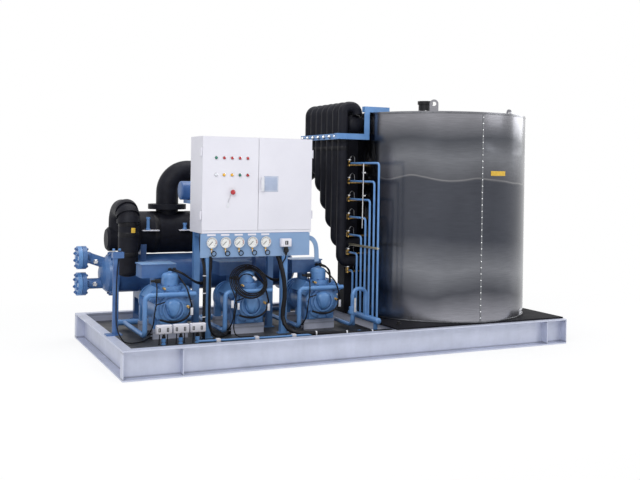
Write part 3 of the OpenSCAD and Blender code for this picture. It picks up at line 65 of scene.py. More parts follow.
def plan(x, y, z):
    """A plan point in the row frame."""
    return Vector((x, y, z)) - PLAN_ORIGIN


def on_tank(degrees, z, out=0.0):
    """A point on the tank's skin at an angle about its axis, counted from +X."""
    a = radians(degrees)
    r = TANK_R + out
    return plan(TANK_X + r * cos(a), TANK_Y + r * sin(a), z)


def add(name, data):
    """A new object in the scene."""
    made = bpy.data.objects.new(name, data)
    scene.collection.objects.link(made)
    return made


# Camera, level, with the photograph's slight roll and its frame shifted down

CAMERA_AT = (-3.45, -7.151, 1.497)
CAMERA_YAW = radians(25.64)
CAMERA_ROLL = radians(0.89)


def make_camera():
    data = bpy.data.cameras.new("camera")
    data.sensor_width = 36.0
    data.lens = 50.0
    data.shift_y = -0.1045
    data.clip_end = 100.0
    forward = Vector((sin(CAMERA_YAW), cos(CAMERA_YAW), 0.0))
    level = Vector((cos(CAMERA_YAW), -sin(CAMERA_YAW), 0.0))
    right = cos(CAMERA_ROLL) * level + sin(CAMERA_ROLL) * Vector(UP)
    up = right.cross(forward)
    camera = add("camera", data)
    axes = Matrix((right, up, -forward)).transposed().to_4x4()
    camera.matrix_world = Matrix.Translation(CAMERA_AT) @ axes
    scene.camera = camera


make_camera()

# Materials, on a few shared node helpers. A Mix node's colour sockets are found by their place.

MIX_A, MIX_B, MIX_RESULT = 6, 7, 2


class Tree:
    """The nodes of a material or of the world."""

    def __init__(self, owner):
        owner.use_nodes = True
        self.tree = owner.node_tree

    def node(self, kind, sockets=None, **settings):
        """A new node with its settings and the values of some of its sockets."""
        made = self.tree.nodes.new(kind)
        for key, value in settings.items():
            setattr(made, key, value)
        for key, value in (sockets or {}).items():
            made.inputs[key].default_value = value
        return made

    def link(self, source, target):
        self.tree.links.new(source, target)

    def math(self, operation, a, b):
        """One scalar operation; each side is a socket or a number."""
        made = self.node("ShaderNodeMath", operation=operation)
        for socket, value in zip(made.inputs, (a, b)):
            if isinstance(value, (int, float)):
                socket.default_value = value
            else:
                self.link(value, socket)
        return made.outputs["Value"]

    def seen_rays(self):
        """One for camera, mirror and glass rays, nought for the rest."""
        path = self.node("ShaderNodeLightPath")
        seen = path.outputs["Is Camera Ray"]
        for other in ("Is Glossy Ray", "Is Transmission Ray"):
            seen = self.math("MAXIMUM", seen, path.outputs[other])
        return seen


class Surface(Tree):
    """A Principled material under construction."""

    def __init__(self, name, base, rough=0.5, metal=0.0, specular=0.5, coat=0.0):
        self.material = bpy.data.materials.new(name)
        super().__init__(self.material)
        self.shader = self.tree.nodes["Principled BSDF"]
        self.height = None
        sockets = self.shader.inputs
        sockets["Base Color"].default_value = (*base, 1.0)
        sockets["Roughness"].default_value = rough
        sockets["Metallic"].default_value = metal
        sockets["Specular IOR Level"].default_value = specular
        sockets["Coat Weight"].default_value = coat

    def place(self, scale=(1, 1, 1)):
        """The row frame's coordinates, stretched."""
        coordinates = self.node("ShaderNodeTexCoord")
        mapping = self.node("ShaderNodeMapping", {"Scale": scale})
        self.link(coordinates.outputs["Object"], mapping.inputs["Vector"])
        return mapping.outputs["Vector"]

    def noise(self, scale, detail=3.0, rough=0.5, stretch=(1, 1, 1), distortion=0.0):
        sockets = {"Scale": scale, "Detail": detail, "Roughness": rough, "Distortion": distortion}
        made = self.node("ShaderNodeTexNoise", sockets)
        self.link(self.place(stretch), made.inputs["Vector"])
        return made.outputs["Fac"]

    def spread(self, fac, low, high):
        """A pattern from 0 to 1, stretched to another range."""
        made = self.node("ShaderNodeMapRange", {"To Min": low, "To Max": high})
        self.link(fac, made.inputs["Value"])
        return made.outputs["Result"]

    def ramp(self, fac, stops):
        """Colours along a pattern: stops are (position, colour) pairs."""
        made = self.node("ShaderNodeValToRGB")
        elements = made.color_ramp.elements
        for element, (position, colour) in zip(elements, (stops[0], stops[-1])):
            element.position = position
            element.color = (*colour, 1)
        for position, colour in stops[1:-1]:
            elements.new(position).color = (*colour, 1)
        self.link(fac, made.inputs["Fac"])
        return made.outputs["Color"]

    def height_over_floor(self):
        split = self.node("ShaderNodeSeparateXYZ")
        self.link(self.place(), split.inputs["Vector"])
        return split.outputs["Z"]

    def shade(self, colour, fac, low, high):
        """A colour darkened and lightened by a pattern."""
        scale = self.spread(fac, low, high)
        made = self.node("ShaderNodeMix", {0: 1.0}, data_type="RGBA", blend_type="MULTIPLY")
        self.link(colour, made.inputs[MIX_A])
        self.link(scale, made.inputs[MIX_B])
        return made.outputs[MIX_RESULT]

    def tint(self, fac, stops):
        self.link(self.ramp(fac, stops), self.shader.inputs["Base Color"])
        return self

    def roughen(self, fac, low, high):
        self.link(self.spread(fac, low, high), self.shader.inputs["Roughness"])
        return self

    def bump(self, fac, strength, distance):
        """Adds relief on top of any relief set before."""
        made = self.node("ShaderNodeBump", {"Strength": strength, "Distance": distance})
        self.link(fac, made.inputs["Height"])
        if self.height:
            self.link(self.height, made.inputs["Normal"])
        self.height = made.outputs["Normal"]
        self.link(self.height, self.shader.inputs["Normal"])
        return self


def mottled(name, dark, light, scale, rough, metal=0.0, grain=0.0, specular=0.5, coat=0.0):
    """A surface with soft colour variation and, where wanted, a fine grain."""
    s = Surface(name, light, rough, metal, specular, coat)
    s.tint(s.noise(scale, 5.0, 0.6), [(0.3, dark), (0.7, light)])
    s.roughen(s.noise(scale * 2.3, 4.0), rough * 0.8, min(1.0, rough * 1.2))
    if grain:
        s.bump(s.noise(grain, 2.0), 0.12, 0.002)
    return s


def plain(*look, **options):
    """The material of a mottled surface that needs no more."""
    return mottled(*look, **options).material


def galvanised():
    """Hot-dip zinc: faint patches and runs, with painted shade in dark lines along the inner corners of the
    rails.
    """
    s = Surface("galvanised", (0.52, 0.55, 0.62), 0.42, 0.45)
    tone = s.ramp(s.noise(5.0, 6.0, 0.65), [(0.25, (0.49, 0.52, 0.63)), (0.75, (0.61, 0.64, 0.77))])
    tone = s.shade(tone, s.noise(14.0, 4.0, 0.6, (1, 1, 0.12)), 0.9, 1.08)
    # Painted shade: dark lines just above the bottom flange and just under the top flange, by height over the
    # floor, on every galvanised part.
    painted_corner_shade = s.ramp(s.math("DIVIDE", s.height_over_floor(), RAIL_TOP), [
        (0.052, (1.0, 1.0, 1.0)), (0.062, (0.42, 0.42, 0.46)), (0.13, (0.96, 0.96, 0.97)),
        (0.86, (0.98, 0.98, 0.99)), (0.935, (0.62, 0.62, 0.66)), (0.948, (1.0, 1.0, 1.0)),
    ])
    s.link(s.shade(tone, painted_corner_shade, 0.0, 1.0), s.shader.inputs["Base Color"])
    s.roughen(s.noise(30.0, 4.0), 0.34, 0.52)
    return s.bump(s.noise(70.0, 3.0), 0.08, 0.002).material


def stainless():
    """Brushed sheet with painted reflections in its colour: soft level bands of light and dark, bent by the
    waves of the sheet, and soft upright highlights.
    """
    s = Surface("stainless", (0.2, 0.21, 0.23), 0.2, 1.0)
    reflection_sway = s.noise(1.0, 2.0, 0.5, (1, 1, 0.5), 0.7)
    level = s.math("ADD", s.height_over_floor(), s.math("MULTIPLY", s.math("SUBTRACT", reflection_sway, 0.5), 0.32))
    # Painted reflections: light and dark grey bands and a thin bright line, by height over the floor.
    tone = s.ramp(s.math("DIVIDE", level, TANK_TOP), [
        (0.12, (0.26, 0.26, 0.29)), (0.24, (0.07, 0.073, 0.086)), (0.34, (0.165, 0.17, 0.188)),
        (0.48, (0.058, 0.062, 0.076)), (0.7215, (0.066, 0.07, 0.084)), (0.726, (0.22, 0.218, 0.225)),
        (0.7305, (0.1, 0.103, 0.116)), (0.81, (0.16, 0.165, 0.182)), (0.89, (0.072, 0.076, 0.088)),
        (0.98, (0.22, 0.22, 0.24)),
    ])
    # Painted highlights: soft upright patches lighten and darken the bands; the fine level streaks below are
    # brushed grain.
    tone = s.shade(tone, s.noise(1.7, 3.0, 0.5, (1, 1, 0.3)), 0.55, 1.5)
    tone = s.shade(tone, s.noise(9.0, 4.0, 0.6, (1, 1, 24)), 0.7, 1.3)
    s.link(tone, s.shader.inputs["Base Color"])
    s.roughen(s.noise(26.0, 5.0, 0.7, (1, 1, 40)), 0.16, 0.3)
    s.bump(s.noise(1.3, 2.0, 0.4, (1, 1, 1.6), 0.6), 0.6, 0.02)
    return s.bump(s.noise(40.0, 3.0, 0.6, (1, 1, 60)), 0.05, 0.001).material


def foam():
    s = mottled("pipe_foam", (0.007, 0.007, 0.011), (0.013, 0.014, 0.02), 14.0, 0.5, specular=0.12)
    return s.bump(s.noise(9.0, 3.0, 0.5), 0.35, 0.006).material


def blue_paint(name="blue_paint", dark=(0.082, 0.212, 0.475), light=(0.15, 0.315, 0.605)):
    s = mottled(name, dark, light, 6.0, 0.36)
    return s.bump(s.noise(120.0, 3.0), 0.1, 0.001).material


def casting_blue():
    s = mottled("casting_blue", (0.062, 0.178, 0.415), (0.145, 0.305, 0.59), 11.0, 0.36)
    return s.bump(s.noise(85.0, 4.0), 0.28, 0.002).material


def chequer_floor():
    s = mottled("chequer_floor", (0.02, 0.021, 0.024), (0.06, 0.062, 0.068), 9.0, 0.45, 0.3)
    wave = s.node("ShaderNodeTexWave", {"Scale": 16.0}, wave_type="BANDS", bands_direction="DIAGONAL")
    s.link(s.place(), wave.inputs["Vector"])
    return s.bump(wave.outputs["Fac"], 0.5, 0.004).material


def black_sheet():
    s = Surface("black_sheet", (0.012, 0.012, 0.015), 0.4, specular=0.06)
    s.tint(s.noise(220.0, 2.0), [(0.7, (0.009, 0.009, 0.012)), (0.84, (0.24, 0.24, 0.27))])
    return s.roughen(s.noise(5.0), 0.52, 0.68).material


def plain_steel(name="plain_steel", dark=(0.4, 0.41, 0.43), light=(0.62, 0.63, 0.65), rough=0.3):
    return plain(name, dark, light, 24.0, rough, 1.0, grain=200.0)


def lens(name, dark, light):
    return plain(name, dark, light, 60.0, 0.16, coat=0.6)


GALVANISED = galvanised()
STAINLESS = stainless()
FOAM = foam()
BLUE = blue_paint()
CASTING = casting_blue()
# Darker copies of the blue paint for parts in shade: painted shade, the deepest for the condenser shell,
# posts and bolts, a lighter one for the covers and terminal boxes.
SHADE_BLUE = blue_paint("shaded_blue", (0.03, 0.085, 0.24), (0.07, 0.165, 0.38))
PART_SHADE_BLUE = blue_paint("part_shade_blue", (0.034, 0.098, 0.27), (0.085, 0.192, 0.415))
PANEL_BLUE = plain("panel_blue", (0.195, 0.318, 0.52), (0.245, 0.368, 0.575), 3.0, 0.4, grain=300.0)
WHITE = plain("white_paint", (0.71, 0.7, 0.76), (0.77, 0.76, 0.82), 2.0, 0.42, grain=380.0)
FLOOR_STEEL = chequer_floor()
BLACK_SHEET = black_sheet()
STEEL = plain_steel()
ZINC = plain_steel("zinc", (0.62, 0.62, 0.62), (0.78, 0.78, 0.8), 0.25)
BRASS = plain("brass_fitting", (0.42, 0.24, 0.06), (0.78, 0.52, 0.18), 60.0, 0.28, 1.0)
BLACK = plain("black_plastic", (0.01, 0.01, 0.011), (0.02, 0.02, 0.022), 40.0, 0.4,
              grain=400.0, specular=0.2)
SHEATH = plain("cable_sheath", (0.006, 0.006, 0.008), (0.013, 0.013, 0.016), 30.0, 0.38,
               grain=500.0, specular=0.15)
LIGHT = plain("light_plastic", (0.68, 0.68, 0.72), (0.78, 0.78, 0.82), 20.0, 0.38, grain=300.0)
GREEN = lens("green_lens", (0.0, 0.1, 0.07), (0.01, 0.2, 0.13))
RED = lens("red_lens", (0.3, 0.005, 0.012), (0.52, 0.015, 0.025))
YELLOW = lens("yellow_lens", (0.7, 0.34, 0.01), (0.9, 0.5, 0.03))
CLEAR = lens("white_lens", (0.66, 0.68, 0.74), (0.8, 0.82, 0.86))
SEAM = plain_steel("seam_steel", (0.13, 0.135, 0.15), (0.22, 0.225, 0.24), 0.26)
RIVET = plain_steel("rivet_steel", (0.62, 0.63, 0.64), (0.82, 0.83, 0.84), 0.2)
YELLOW_PAINT = plain("yellow_plate", (0.55, 0.33, 0.02), (0.72, 0.46, 0.04), 40.0, 0.4)
PLATE_GREY = plain("plate_grey", (0.36, 0.42, 0.56), (0.44, 0.5, 0.64), 20.0, 0.35, grain=300.0)
# Painted shade: the grey of the gap between the doors.
SHADOW = plain("gap_shade", (0.16, 0.16, 0.18), (0.22, 0.22, 0.24), 40.0, 0.7)
DIAL = plain("dial_face", (0.76, 0.76, 0.74), (0.84, 0.84, 0.82), 50.0, 0.3, coat=0.5)
PALE_BLUE = plain("box_lid_blue", (0.17, 0.32, 0.57), (0.25, 0.41, 0.66), 8.0, 0.34)
PALE_BRASS = plain("clip_bar", (0.45, 0.4, 0.28), (0.62, 0.57, 0.42), 30.0, 0.35, 0.8)
TAPE = plain("foam_tape", (0.006, 0.006, 0.008), (0.013, 0.013, 0.016), 30.0, 0.4, specular=0.15)

MATERIAL_OF_SLOT = {
    "galvanised_steel": GALVANISED, "floor_steel": FLOOR_STEEL, "black_sheet": BLACK_SHEET,
    "stainless_steel": STAINLESS, "plain_steel": STEEL, "pipe_insulation": FOAM, "blue_paint": BLUE,
    "light_blue_paint": PANEL_BLUE, "brass": BRASS, "zinc_steel": ZINC, "white_paint": WHITE,
    "light_plastic": LIGHT, "black_plastic": BLACK, "lamp_plastic": LIGHT, "green_plastic": GREEN,
    "red_plastic": RED, "gauge_case": ZINC, "cable_rubber": SHEATH,
}
# Nodes in shade take the darker copies of the blue paint: painted shade.
MATERIAL_OF_NODE = {
    "compressors": CASTING, "cylinder_heads": CASTING, "end_covers": CASTING, "condenser_shell": SHADE_BLUE,
    "condenser_covers": PART_SHADE_BLUE, "oil_separator": SHADE_BLUE, "terminal_boxes": PART_SHADE_BLUE,
    "support_posts": SHADE_BLUE, "flange_bolts": SHADE_BLUE,
}


def dress_nodes():
    for part in frame["record"]["subparts"]:
        material = MATERIAL_OF_NODE.get(part["node"], MATERIAL_OF_SLOT[part["material_slot"]])
        mesh = nodes[part["node"]].data
        mesh.materials.clear()
        mesh.materials.append(material)


dress_nodes()

# Pieces: small meshes built from shaped primitives, in plan metres


class Kit:
    """A mesh piece under construction, each primitive with its own material."""

    def __init__(self, name):
        self.name = name
        self.bm = bmesh.new()
        self.materials = []
        self.index = 0

    def use(self, material):
        if material not in self.materials:
            self.materials.append(material)
        self.index = self.materials.index(material)
        return self

    def own(self, faces):
        for face in faces:
            face.material_index = self.index
            face.smooth = True

    def box(self, low, high, rounding):
        """A bevelled box between two plan corners."""
        low, high = plan(*low), plan(*high)
        size = high - low
        place = Matrix.Translation((low + high) / 2) @ Matrix.Diagonal((*size, 1))
        made = bmesh.ops.create_cube(self.bm, size=1.0, matrix=place)
        edges = list({e for v in made["verts"] for e in v.link_edges})
        offset = min(rounding, min(size) * 0.45)
        cut = bmesh.ops.bevel(self.bm, geom=edges, offset=offset, segments=2, affect="EDGES", profile=0.5)
        self.own({f for v in cut["verts"] for f in v.link_faces})
        return self

    def lathe(self, at, axis, profile, steps=20):
        """A turned shape: profile is (radius, height) pairs along an axis from a plan point."""
        place = Matrix.Translation(plan(*at)) @ Vector(axis).to_track_quat("Z", "Y").to_matrix().to_4x4()
        rings = []
        for radius, height in profile:
            count = steps if radius else 1
            angles = [2 * pi * k / steps for k in range(count)]
            rings.append([
                self.bm.verts.new(place @ Vector((radius * cos(a), radius * sin(a), height)))
                for a in angles
            ])
        return self.skin(rings, steps)

    def skin(self, rings, steps):
        """Faces between rings of points that follow each other."""
        faces = []
        for near, far in zip(rings, rings[1:]):
            for k in range(steps):
                n = (k + 1) % steps
                ring = [near[k % len(near)], near[n % len(near)], far[n % len(far)], far[k % len(far)]]
                corners = list(dict.fromkeys(ring))
                if len(corners) > 2:
                    faces.append(self.bm.faces.new(corners))
        self.own(faces)
        return self

    def cap(self, rings):
        """Closes both ends of a skin."""
        self.own([self.bm.faces.new(rings[0][::-1]), self.bm.faces.new(rings[-1])])
        return self

    def tube(self, points, radius, sides=10, capped=True):
        """A round bar along plan points."""
        path = [plan(*p) for p in points]
        side = None
        rings = []
        angles = [2 * pi * k / sides for k in range(sides)]
        for i, here in enumerate(path):
            ahead = (path[min(i + 1, len(path) - 1)] - path[max(i - 1, 0)]).normalized()
            if side is None:
                side = ahead.orthogonal().normalized()
            side = (side - side.dot(ahead) * ahead).normalized()
            other = ahead.cross(side)
            rings.append([
                self.bm.verts.new(here + radius * (cos(a) * side + sin(a) * other)) for a in angles
            ])
        self.skin(rings, sides)
        return self.cap(rings) if capped else self

    def band(self, degrees, heights, out, parts=8):
        """A closed slab bent round the tank's skin, between two angles and two heights."""
        (a, b), (low, high) = degrees, heights
        rings = []
        for k in range(parts + 1):
            at = a + (b - a) * k / parts
            rings.append([self.bm.verts.new(on_tank(at, z, o))
                          for z, o in ((low, 0.0), (low, out), (high, out), (high, 0.0))])
        return self.skin(rings, 4).cap(rings)

    def plate(self, outline, depth):
        """A thin plate from a plan outline, standing out to the front by a depth."""
        rings = [[self.bm.verts.new(plan(x, y - d, z)) for x, y, z in outline] for d in (0.0, depth)]
        return self.skin(rings, len(outline)).cap(rings)

    def strip(self, points, width, thick):
        """A flat bar along plan points that keep one distance from the front."""
        path = [Vector(p) for p in points]
        rings = []
        for i, here in enumerate(path):
            ahead = (path[min(i + 1, len(path) - 1)] - path[max(i - 1, 0)]).normalized()
            side = Vector((-ahead.z, 0, ahead.x)).normalized() * width / 2
            deep = Vector((0, thick / 2, 0))
            rings.append([self.bm.verts.new(plan(*(here + u + v)))
                          for u, v in ((side, deep), (side, -deep), (-side, -deep), (-side, deep))])
        return self.skin(rings, 4).cap(rings)

    def wire(self, points, radius, sides=8):
        """A sheathed wire on a smooth curve through plan points."""
        return self.use(SHEATH).tube(smooth(points), radius, sides)

    def rivet(self, degrees, z, out):
        """A round rivet head on the tank's skin."""
        a = radians(degrees)
        at = on_tank(degrees, z, out) + PLAN_ORIGIN
        return self.use(RIVET).lathe(at, (cos(a), sin(a), 0), RIVET_HEAD, 8)

    def bolt(self, at, axis, size, head):
        """A hexagon head with a washer under it."""
        washer, rim = head * 0.2, size * 1.25
        self.lathe(at, axis, [(0, 0), (rim, 0), (rim, washer), (0, washer)], 14)
        return self.lathe(at, axis, [(size, washer), (size, head * 0.85), (size * 0.8, head), (0, head)], 6)

    def bolt_circle(self, centre, axis, radius, count, start, size, head):
        """Bolts on a circle round an axis, the first one at a start angle."""
        across, rise = {0: (BACK, UP), 1: (RIGHT, UP), 2: (RIGHT, BACK)}[[abs(a) for a in axis].index(1)]
        for k in range(count):
            a = radians(start + 360 * k / count)
            spoke = cos(a) * Vector(across) + sin(a) * Vector(rise)
            self.bolt(Vector(centre) + radius * spoke, axis, size, head)
        return self

    def done(self, body="machine", slot=None, replaces=()):
        """Makes the object, parents it to the empty of the body it rides on and hides the CAD parts it stands
        for; the slot is not used.
        """
        bmesh.ops.recalc_face_normals(self.bm, faces=self.bm.faces)
        mesh = bpy.data.meshes.new(self.name)
        self.bm.to_mesh(mesh)
        self.bm.free()
        for material in self.materials:
            mesh.materials.append(material)
        mesh.set_sharp_from_angle(angle=radians(38))
        made = add(self.name, mesh)
        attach(made, body)
        if replaces:
            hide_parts(*replaces)
        return made


def smooth(points, steps=5):
    """A smooth curve through points, all of which it keeps."""
    pts = [Vector(p) for p in points]
    made = []
    for i in range(len(pts) - 1):
        a, b, c, d = pts[max(i - 1, 0)], pts[i], pts[i + 1], pts[min(i + 2, len(pts) - 1)]
        for k in range(steps):
            t = k / steps
            made.append((2 * b + (c - a) * t + (2 * a - 5 * b + 4 * c - d) * t * t
                         + (3 * b - a - 3 * c + d) * t ** 3) / 2)
    return made + [pts[-1]]


def beside(x, points):
    """Points whose first value is counted from x."""
    return [(x + along, y, z) for along, y, z in points]


def mm(*points):
    """A route's points or a profile's (radius, height) pairs, given in millimetres, in metres."""
    return [tuple(part / 1000 for part in point) for point in points]


# Cords


def cord_curve(name, points, diameter, material):
    """A round cord as one open spline through plan points."""
    data = bpy.data.curves.new(name, "CURVE")
    data.dimensions = "3D"
    data.bevel_depth = diameter / 2
    data.bevel_resolution = 3
    data.use_fill_caps = True
    spline = data.splines.new("POLY")
    spline.points.add(len(points) - 1)
    for place, p in zip(spline.points, points):
        place.co = (*plan(*p), 1.0)
    data.materials.append(material)
    made = add(name, data)
    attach(made, "machine")
    return made


COIL_D = 0.01
COIL_AT = Vector((1.192, 0.6262, 0.5898))
COIL_TILT = radians(55)
COIL_R, COIL_STEP, COIL_SHIFT, COIL_PILE = 0.162, 0.0105, 0.0045, 0.006
COIL_IN, COIL_TURNS, COIL_STEPS = 195.0, 5.375, 28
COIL_LAST, COIL_TAIL = 5.0, 0.05
COIL_FEED = mm((1470, 475, 162), (1340, 490, 156), (1230, 515, 156), (1130, 540, 156), (1065, 565, 163),
               (1042, 580, 210), (1040, 575, 280), (1045, 562, 360), (1052, 558, 440))
CONNECTOR_NECK = mm((0, 0), (6.2, 0), (8.5, 12), (8.5, 16), (0, 16))
CONNECTOR_NUT = mm((10.5, 2), (11.5, 4), (11.5, 30), (9.5, 34), (9.5, 40), (0, 40))


def coil_point(turn):
    """A point of the loose coil: its turns spread on the left, pile up on the right and end inside."""
    angle = radians(COIL_IN - 360 * turn)
    r = COIL_R - COIL_STEP * turn
    if turn > COIL_LAST:
        r -= COIL_TAIL * ((turn - COIL_LAST) / (COIL_TURNS - COIL_LAST)) ** 1.6
    x = r * cos(angle) + COIL_SHIFT * (turn - COIL_TURNS / 2)
    y = r * sin(angle) * (1 + 0.03 * sin(2 * angle))
    n = COIL_PILE * sin(pi * turn)
    c, s = cos(COIL_TILT), sin(COIL_TILT)
    return COIL_AT + Vector((x, y * c - n * s, y * s + n * c))


def coiled_lead():
    """The lead from the cable bundle on the floor up to the coil, the coil itself and its connector."""
    lead = smooth(COIL_FEED + [coil_point(0.0)], 4)[:-1]
    count = int(COIL_TURNS * COIL_STEPS)
    coil = [coil_point(COIL_TURNS * i / count) for i in range(count + 1)]
    points = [tuple(p) for p in lead + coil]
    made = cord_curve("coiled_lead", points, COIL_D, SHEATH)
    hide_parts("cable_coil", "cable_lead")
    tip, back = Vector(points[-1]), Vector(points[-2])
    way = (tip - back).normalized()
    plug = Kit("lead_connector")
    plug.use(BLACK).lathe(tip - way * 0.012, way, CONNECTOR_NECK)
    plug.use(LIGHT).lathe(tip, way, CONNECTOR_NUT, 8)
    plug = plug.done()


LEAD_D = 0.0135
TERMINAL_FRONT = 0.826
# Heights in millimetres at which the leads go into the cabinet's floor and the casting's top
LEAD_IN, CASTING_SHELF = 1000 * CABINET_Z + 1.5, 543
# Routes of the leads: distance along X from the compressor's axis, then plan Y and height
CABINET_LEADS = (
    mm((20, 800, 692), (23, 768, 691), (42, 734, 686), (84, 708, 670), (146, 696, 632), (192, 692, 605),
       (240, 688, 594), (284, 684, 608), (313, 682, 646), (326, 682, 706), (328, 682, 800), (328, 682, 900),
       (328, 682, LEAD_IN)),
    mm((56, 800, 692), (59, 770, 690), (78, 738, 680), (116, 716, 658), (160, 708, 622), (200, 704, 594),
       (242, 701, 580), (284, 699, 590), (314, 698, 626), (327, 698, 690), (328, 698, 800), (328, 698, 900),
       (328, 698, LEAD_IN)),
)
CASTING_LEADS = (
    mm((20, 800, 692), (23, 768, 691), (42, 734, 686), (70, 716, 674), (87, 706, 650), (93, 702, 620),
       (94, 701, 585), (94, 701, CASTING_SHELF)),
    mm((56, 800, 692), (58, 782, 692), (66, 760, 688), (79, 742, 674), (91, 730, 648), (98, 724, 616),
       (100, 722, 582), (100, 722, CASTING_SHELF)),
)
BOX_GLAND = mm((0, -4), (15, -4), (15, 6), (12.5, 8), (12.5, 18), (9.5, 28), (0, 28))
END_GLAND = mm((0, -1), (7.8, -1), (7.8, 7), (7.4, 12), (7.4, 18), (0, 18))


def motor_leads():
    """Two leads from each terminal box: up to the cabinet's floor, or at the last box into the casting."""
    glands = Kit("lead_glands").use(BLACK)
    last = len(COMPRESSORS_X) - 1
    for i, x in enumerate(COMPRESSORS_X):
        routes, away = (CASTING_LEADS, UP) if i == last else (CABINET_LEADS, DOWN)
        for j, route in enumerate(routes):
            points = [tuple(q) for q in smooth(beside(x, route), 3)]
            glands.lathe((points[0][0], TERMINAL_FRONT, points[0][2]), FRONT, BOX_GLAND, 12)
            glands.lathe(points[-1], away, END_GLAND, 12)
            made = cord_curve(f"motor_lead_{2 * i + j + 1}", points, LEAD_D, SHEATH)
    glands.done(slot="black_plastic")


# Tank trim

SEAM_ANGLES = (265.6, 325.0, 25.0, 85.0, 145.0)
SEAM_HALF, SEAM_INSET, SEAM_OUT = 0.5, 0.01, 0.0016
RIVET_COUNT, RIVET_INSET = 33, 0.04
RIVET_HEAD = mm((6, 0), (5.2, 1.8), (3, 3), (0, 3.4))
DRIVE_AT, DRIVE_BOLTS_R = (3.04, 0.9, 2.094), 0.06


def tank_seams():
    """Riveted seam strips down the tank's skin."""
    made = Kit("tank_seams")
    span = (TANK_LOW + SEAM_INSET, TANK_TOP - SEAM_INSET)
    rise = (TANK_TOP - TANK_LOW - 2 * RIVET_INSET) / (RIVET_COUNT - 1)
    for degrees in SEAM_ANGLES:
        made.use(SEAM).band((degrees - SEAM_HALF, degrees + SEAM_HALF), span, SEAM_OUT, 2)
        for k in range(RIVET_COUNT):
            made.rivet(degrees, TANK_LOW + RIVET_INSET + k * rise, 0.0014)
    made.done(slot="stainless_steel")


def tank_bands():
    """Thin hoops at the tank's foot and rim."""
    made = Kit("tank_bands").use(SEAM)
    skin, out, slope = TANK_R + 0.0002, TANK_R + 0.003, 0.002
    for low, high in ((TANK_LOW + 0.001, TANK_LOW + 0.012), (TANK_TOP - 0.014, TANK_TOP - 0.001)):
        hoop = [(skin, low), (out, low + slope), (out, high - slope), (skin, high), (skin, low)]
        made.lathe((TANK_X, TANK_Y, 0), UP, hoop, 160)
    made.done(slot="stainless_steel")


def tank_plates():
    """The blank yellow plate and the light plate at the tank's foot."""
    made = Kit("tank_plate")
    made.use(YELLOW_PAINT).band((271.8, 283.9), (1.497, 1.538), 0.0026)
    made.use(LIGHT).band((306.0, 312.5), (TANK_LOW + 0.013, 0.3), 0.004)
    for z in (0.262, 0.286):
        for degrees in (307.6, 310.9):
            made.rivet(degrees, z, 0.0036)
    made.done(slot="stainless_steel")


def drive_trim():
    """Bolts round the drive on the lid."""
    made = Kit("drive_trim").use(ZINC)
    made.bolt_circle(DRIVE_AT, UP, DRIVE_BOLTS_R, count=6, start=0, size=0.007, head=0.006)
    made.done(slot="zinc_steel")


# Cabinet

LAMP_X, LAMP_PITCH = 0.874, 0.068
LAMP_ROWS = ((1.609, (GREEN, RED, RED, RED, RED)), (1.471, (CLEAR, YELLOW, YELLOW, None, None)))
LAMP_BEZEL = mm((15, -1), (15, 4), (14.2, 5.8), (12.8, 6.2), (12.2, 4.5), (11.8, 2))
LAMP_LENS = mm((11.9, 1.5), (11.7, 9), (10.5, 12.5), (7, 14.8), (0, 15.6))
EMERGENCY_X, EMERGENCY_Z = 1.016, 1.331
EMERGENCY_RING = mm((18, -1), (18, 4), (16.5, 6), (13.8, 6), (13.8, 1))
CHAIN_LINKS, LINK_R, LINK_WIRE_R = 16, 0.0032, 0.0007
PLATE_X, PLATE_Z, PLATE_SIDE = 1.292, 1.337, 0.128
BORDER_IN, BORDER_W, SCREW_IN = 0.005, 0.0025, 0.0045
LOUVRE_COUNT, LOUVRE_LOW, LOUVRE_PITCH = 9, 1.042, 0.022
SMALL_SCREW = mm((2.6, 0), (2, 1.2), (0, 1.5))


def pilot_lamps():
    """Coloured lenses in bright bezels on the left door, and the rings round its buttons."""
    made = Kit("lamp_set")
    for z, lenses in LAMP_ROWS:
        for i, glass in enumerate(lenses):
            at = (LAMP_X + LAMP_PITCH * i, DOOR_Y, z)
            made.use(ZINC).lathe(at, FRONT, LAMP_BEZEL, 28)
            if glass:
                made.use(glass).lathe(at, FRONT, LAMP_LENS, 28)
    made.use(ZINC).lathe((EMERGENCY_X, DOOR_Y, EMERGENCY_Z), FRONT, EMERGENCY_RING, 28)
    made.done("left_door", "lamp_plastic", ("pilot_lamps",))


def key_chain():
    """A short chain of crossed links below the emergency button, with a tag."""
    made = Kit("key_chain").use(STEEL)
    top = Vector((1.004, DOOR_Y - 0.012, 1.316))
    angles = [2 * pi * j / 10 for j in range(11)]
    for k in range(CHAIN_LINKS):
        at = top + Vector((-0.0016 * k, 0.0075 - 0.004 * cos(k), -0.0045 * k))
        turn = radians(90 * (k % 2))
        across = Vector((cos(turn), sin(turn), 0))
        ring = [at + LINK_R * (cos(a) * across + sin(a) * Vector(UP)) for a in angles]
        made.tube(ring, LINK_WIRE_R, 5, False)
    back = DOOR_Y - 0.001
    made.use(LIGHT).box((0.97, back - 0.003, 1.206), (0.99, back, 1.242), 0.0012)
    made.done("left_door", "plain_steel")


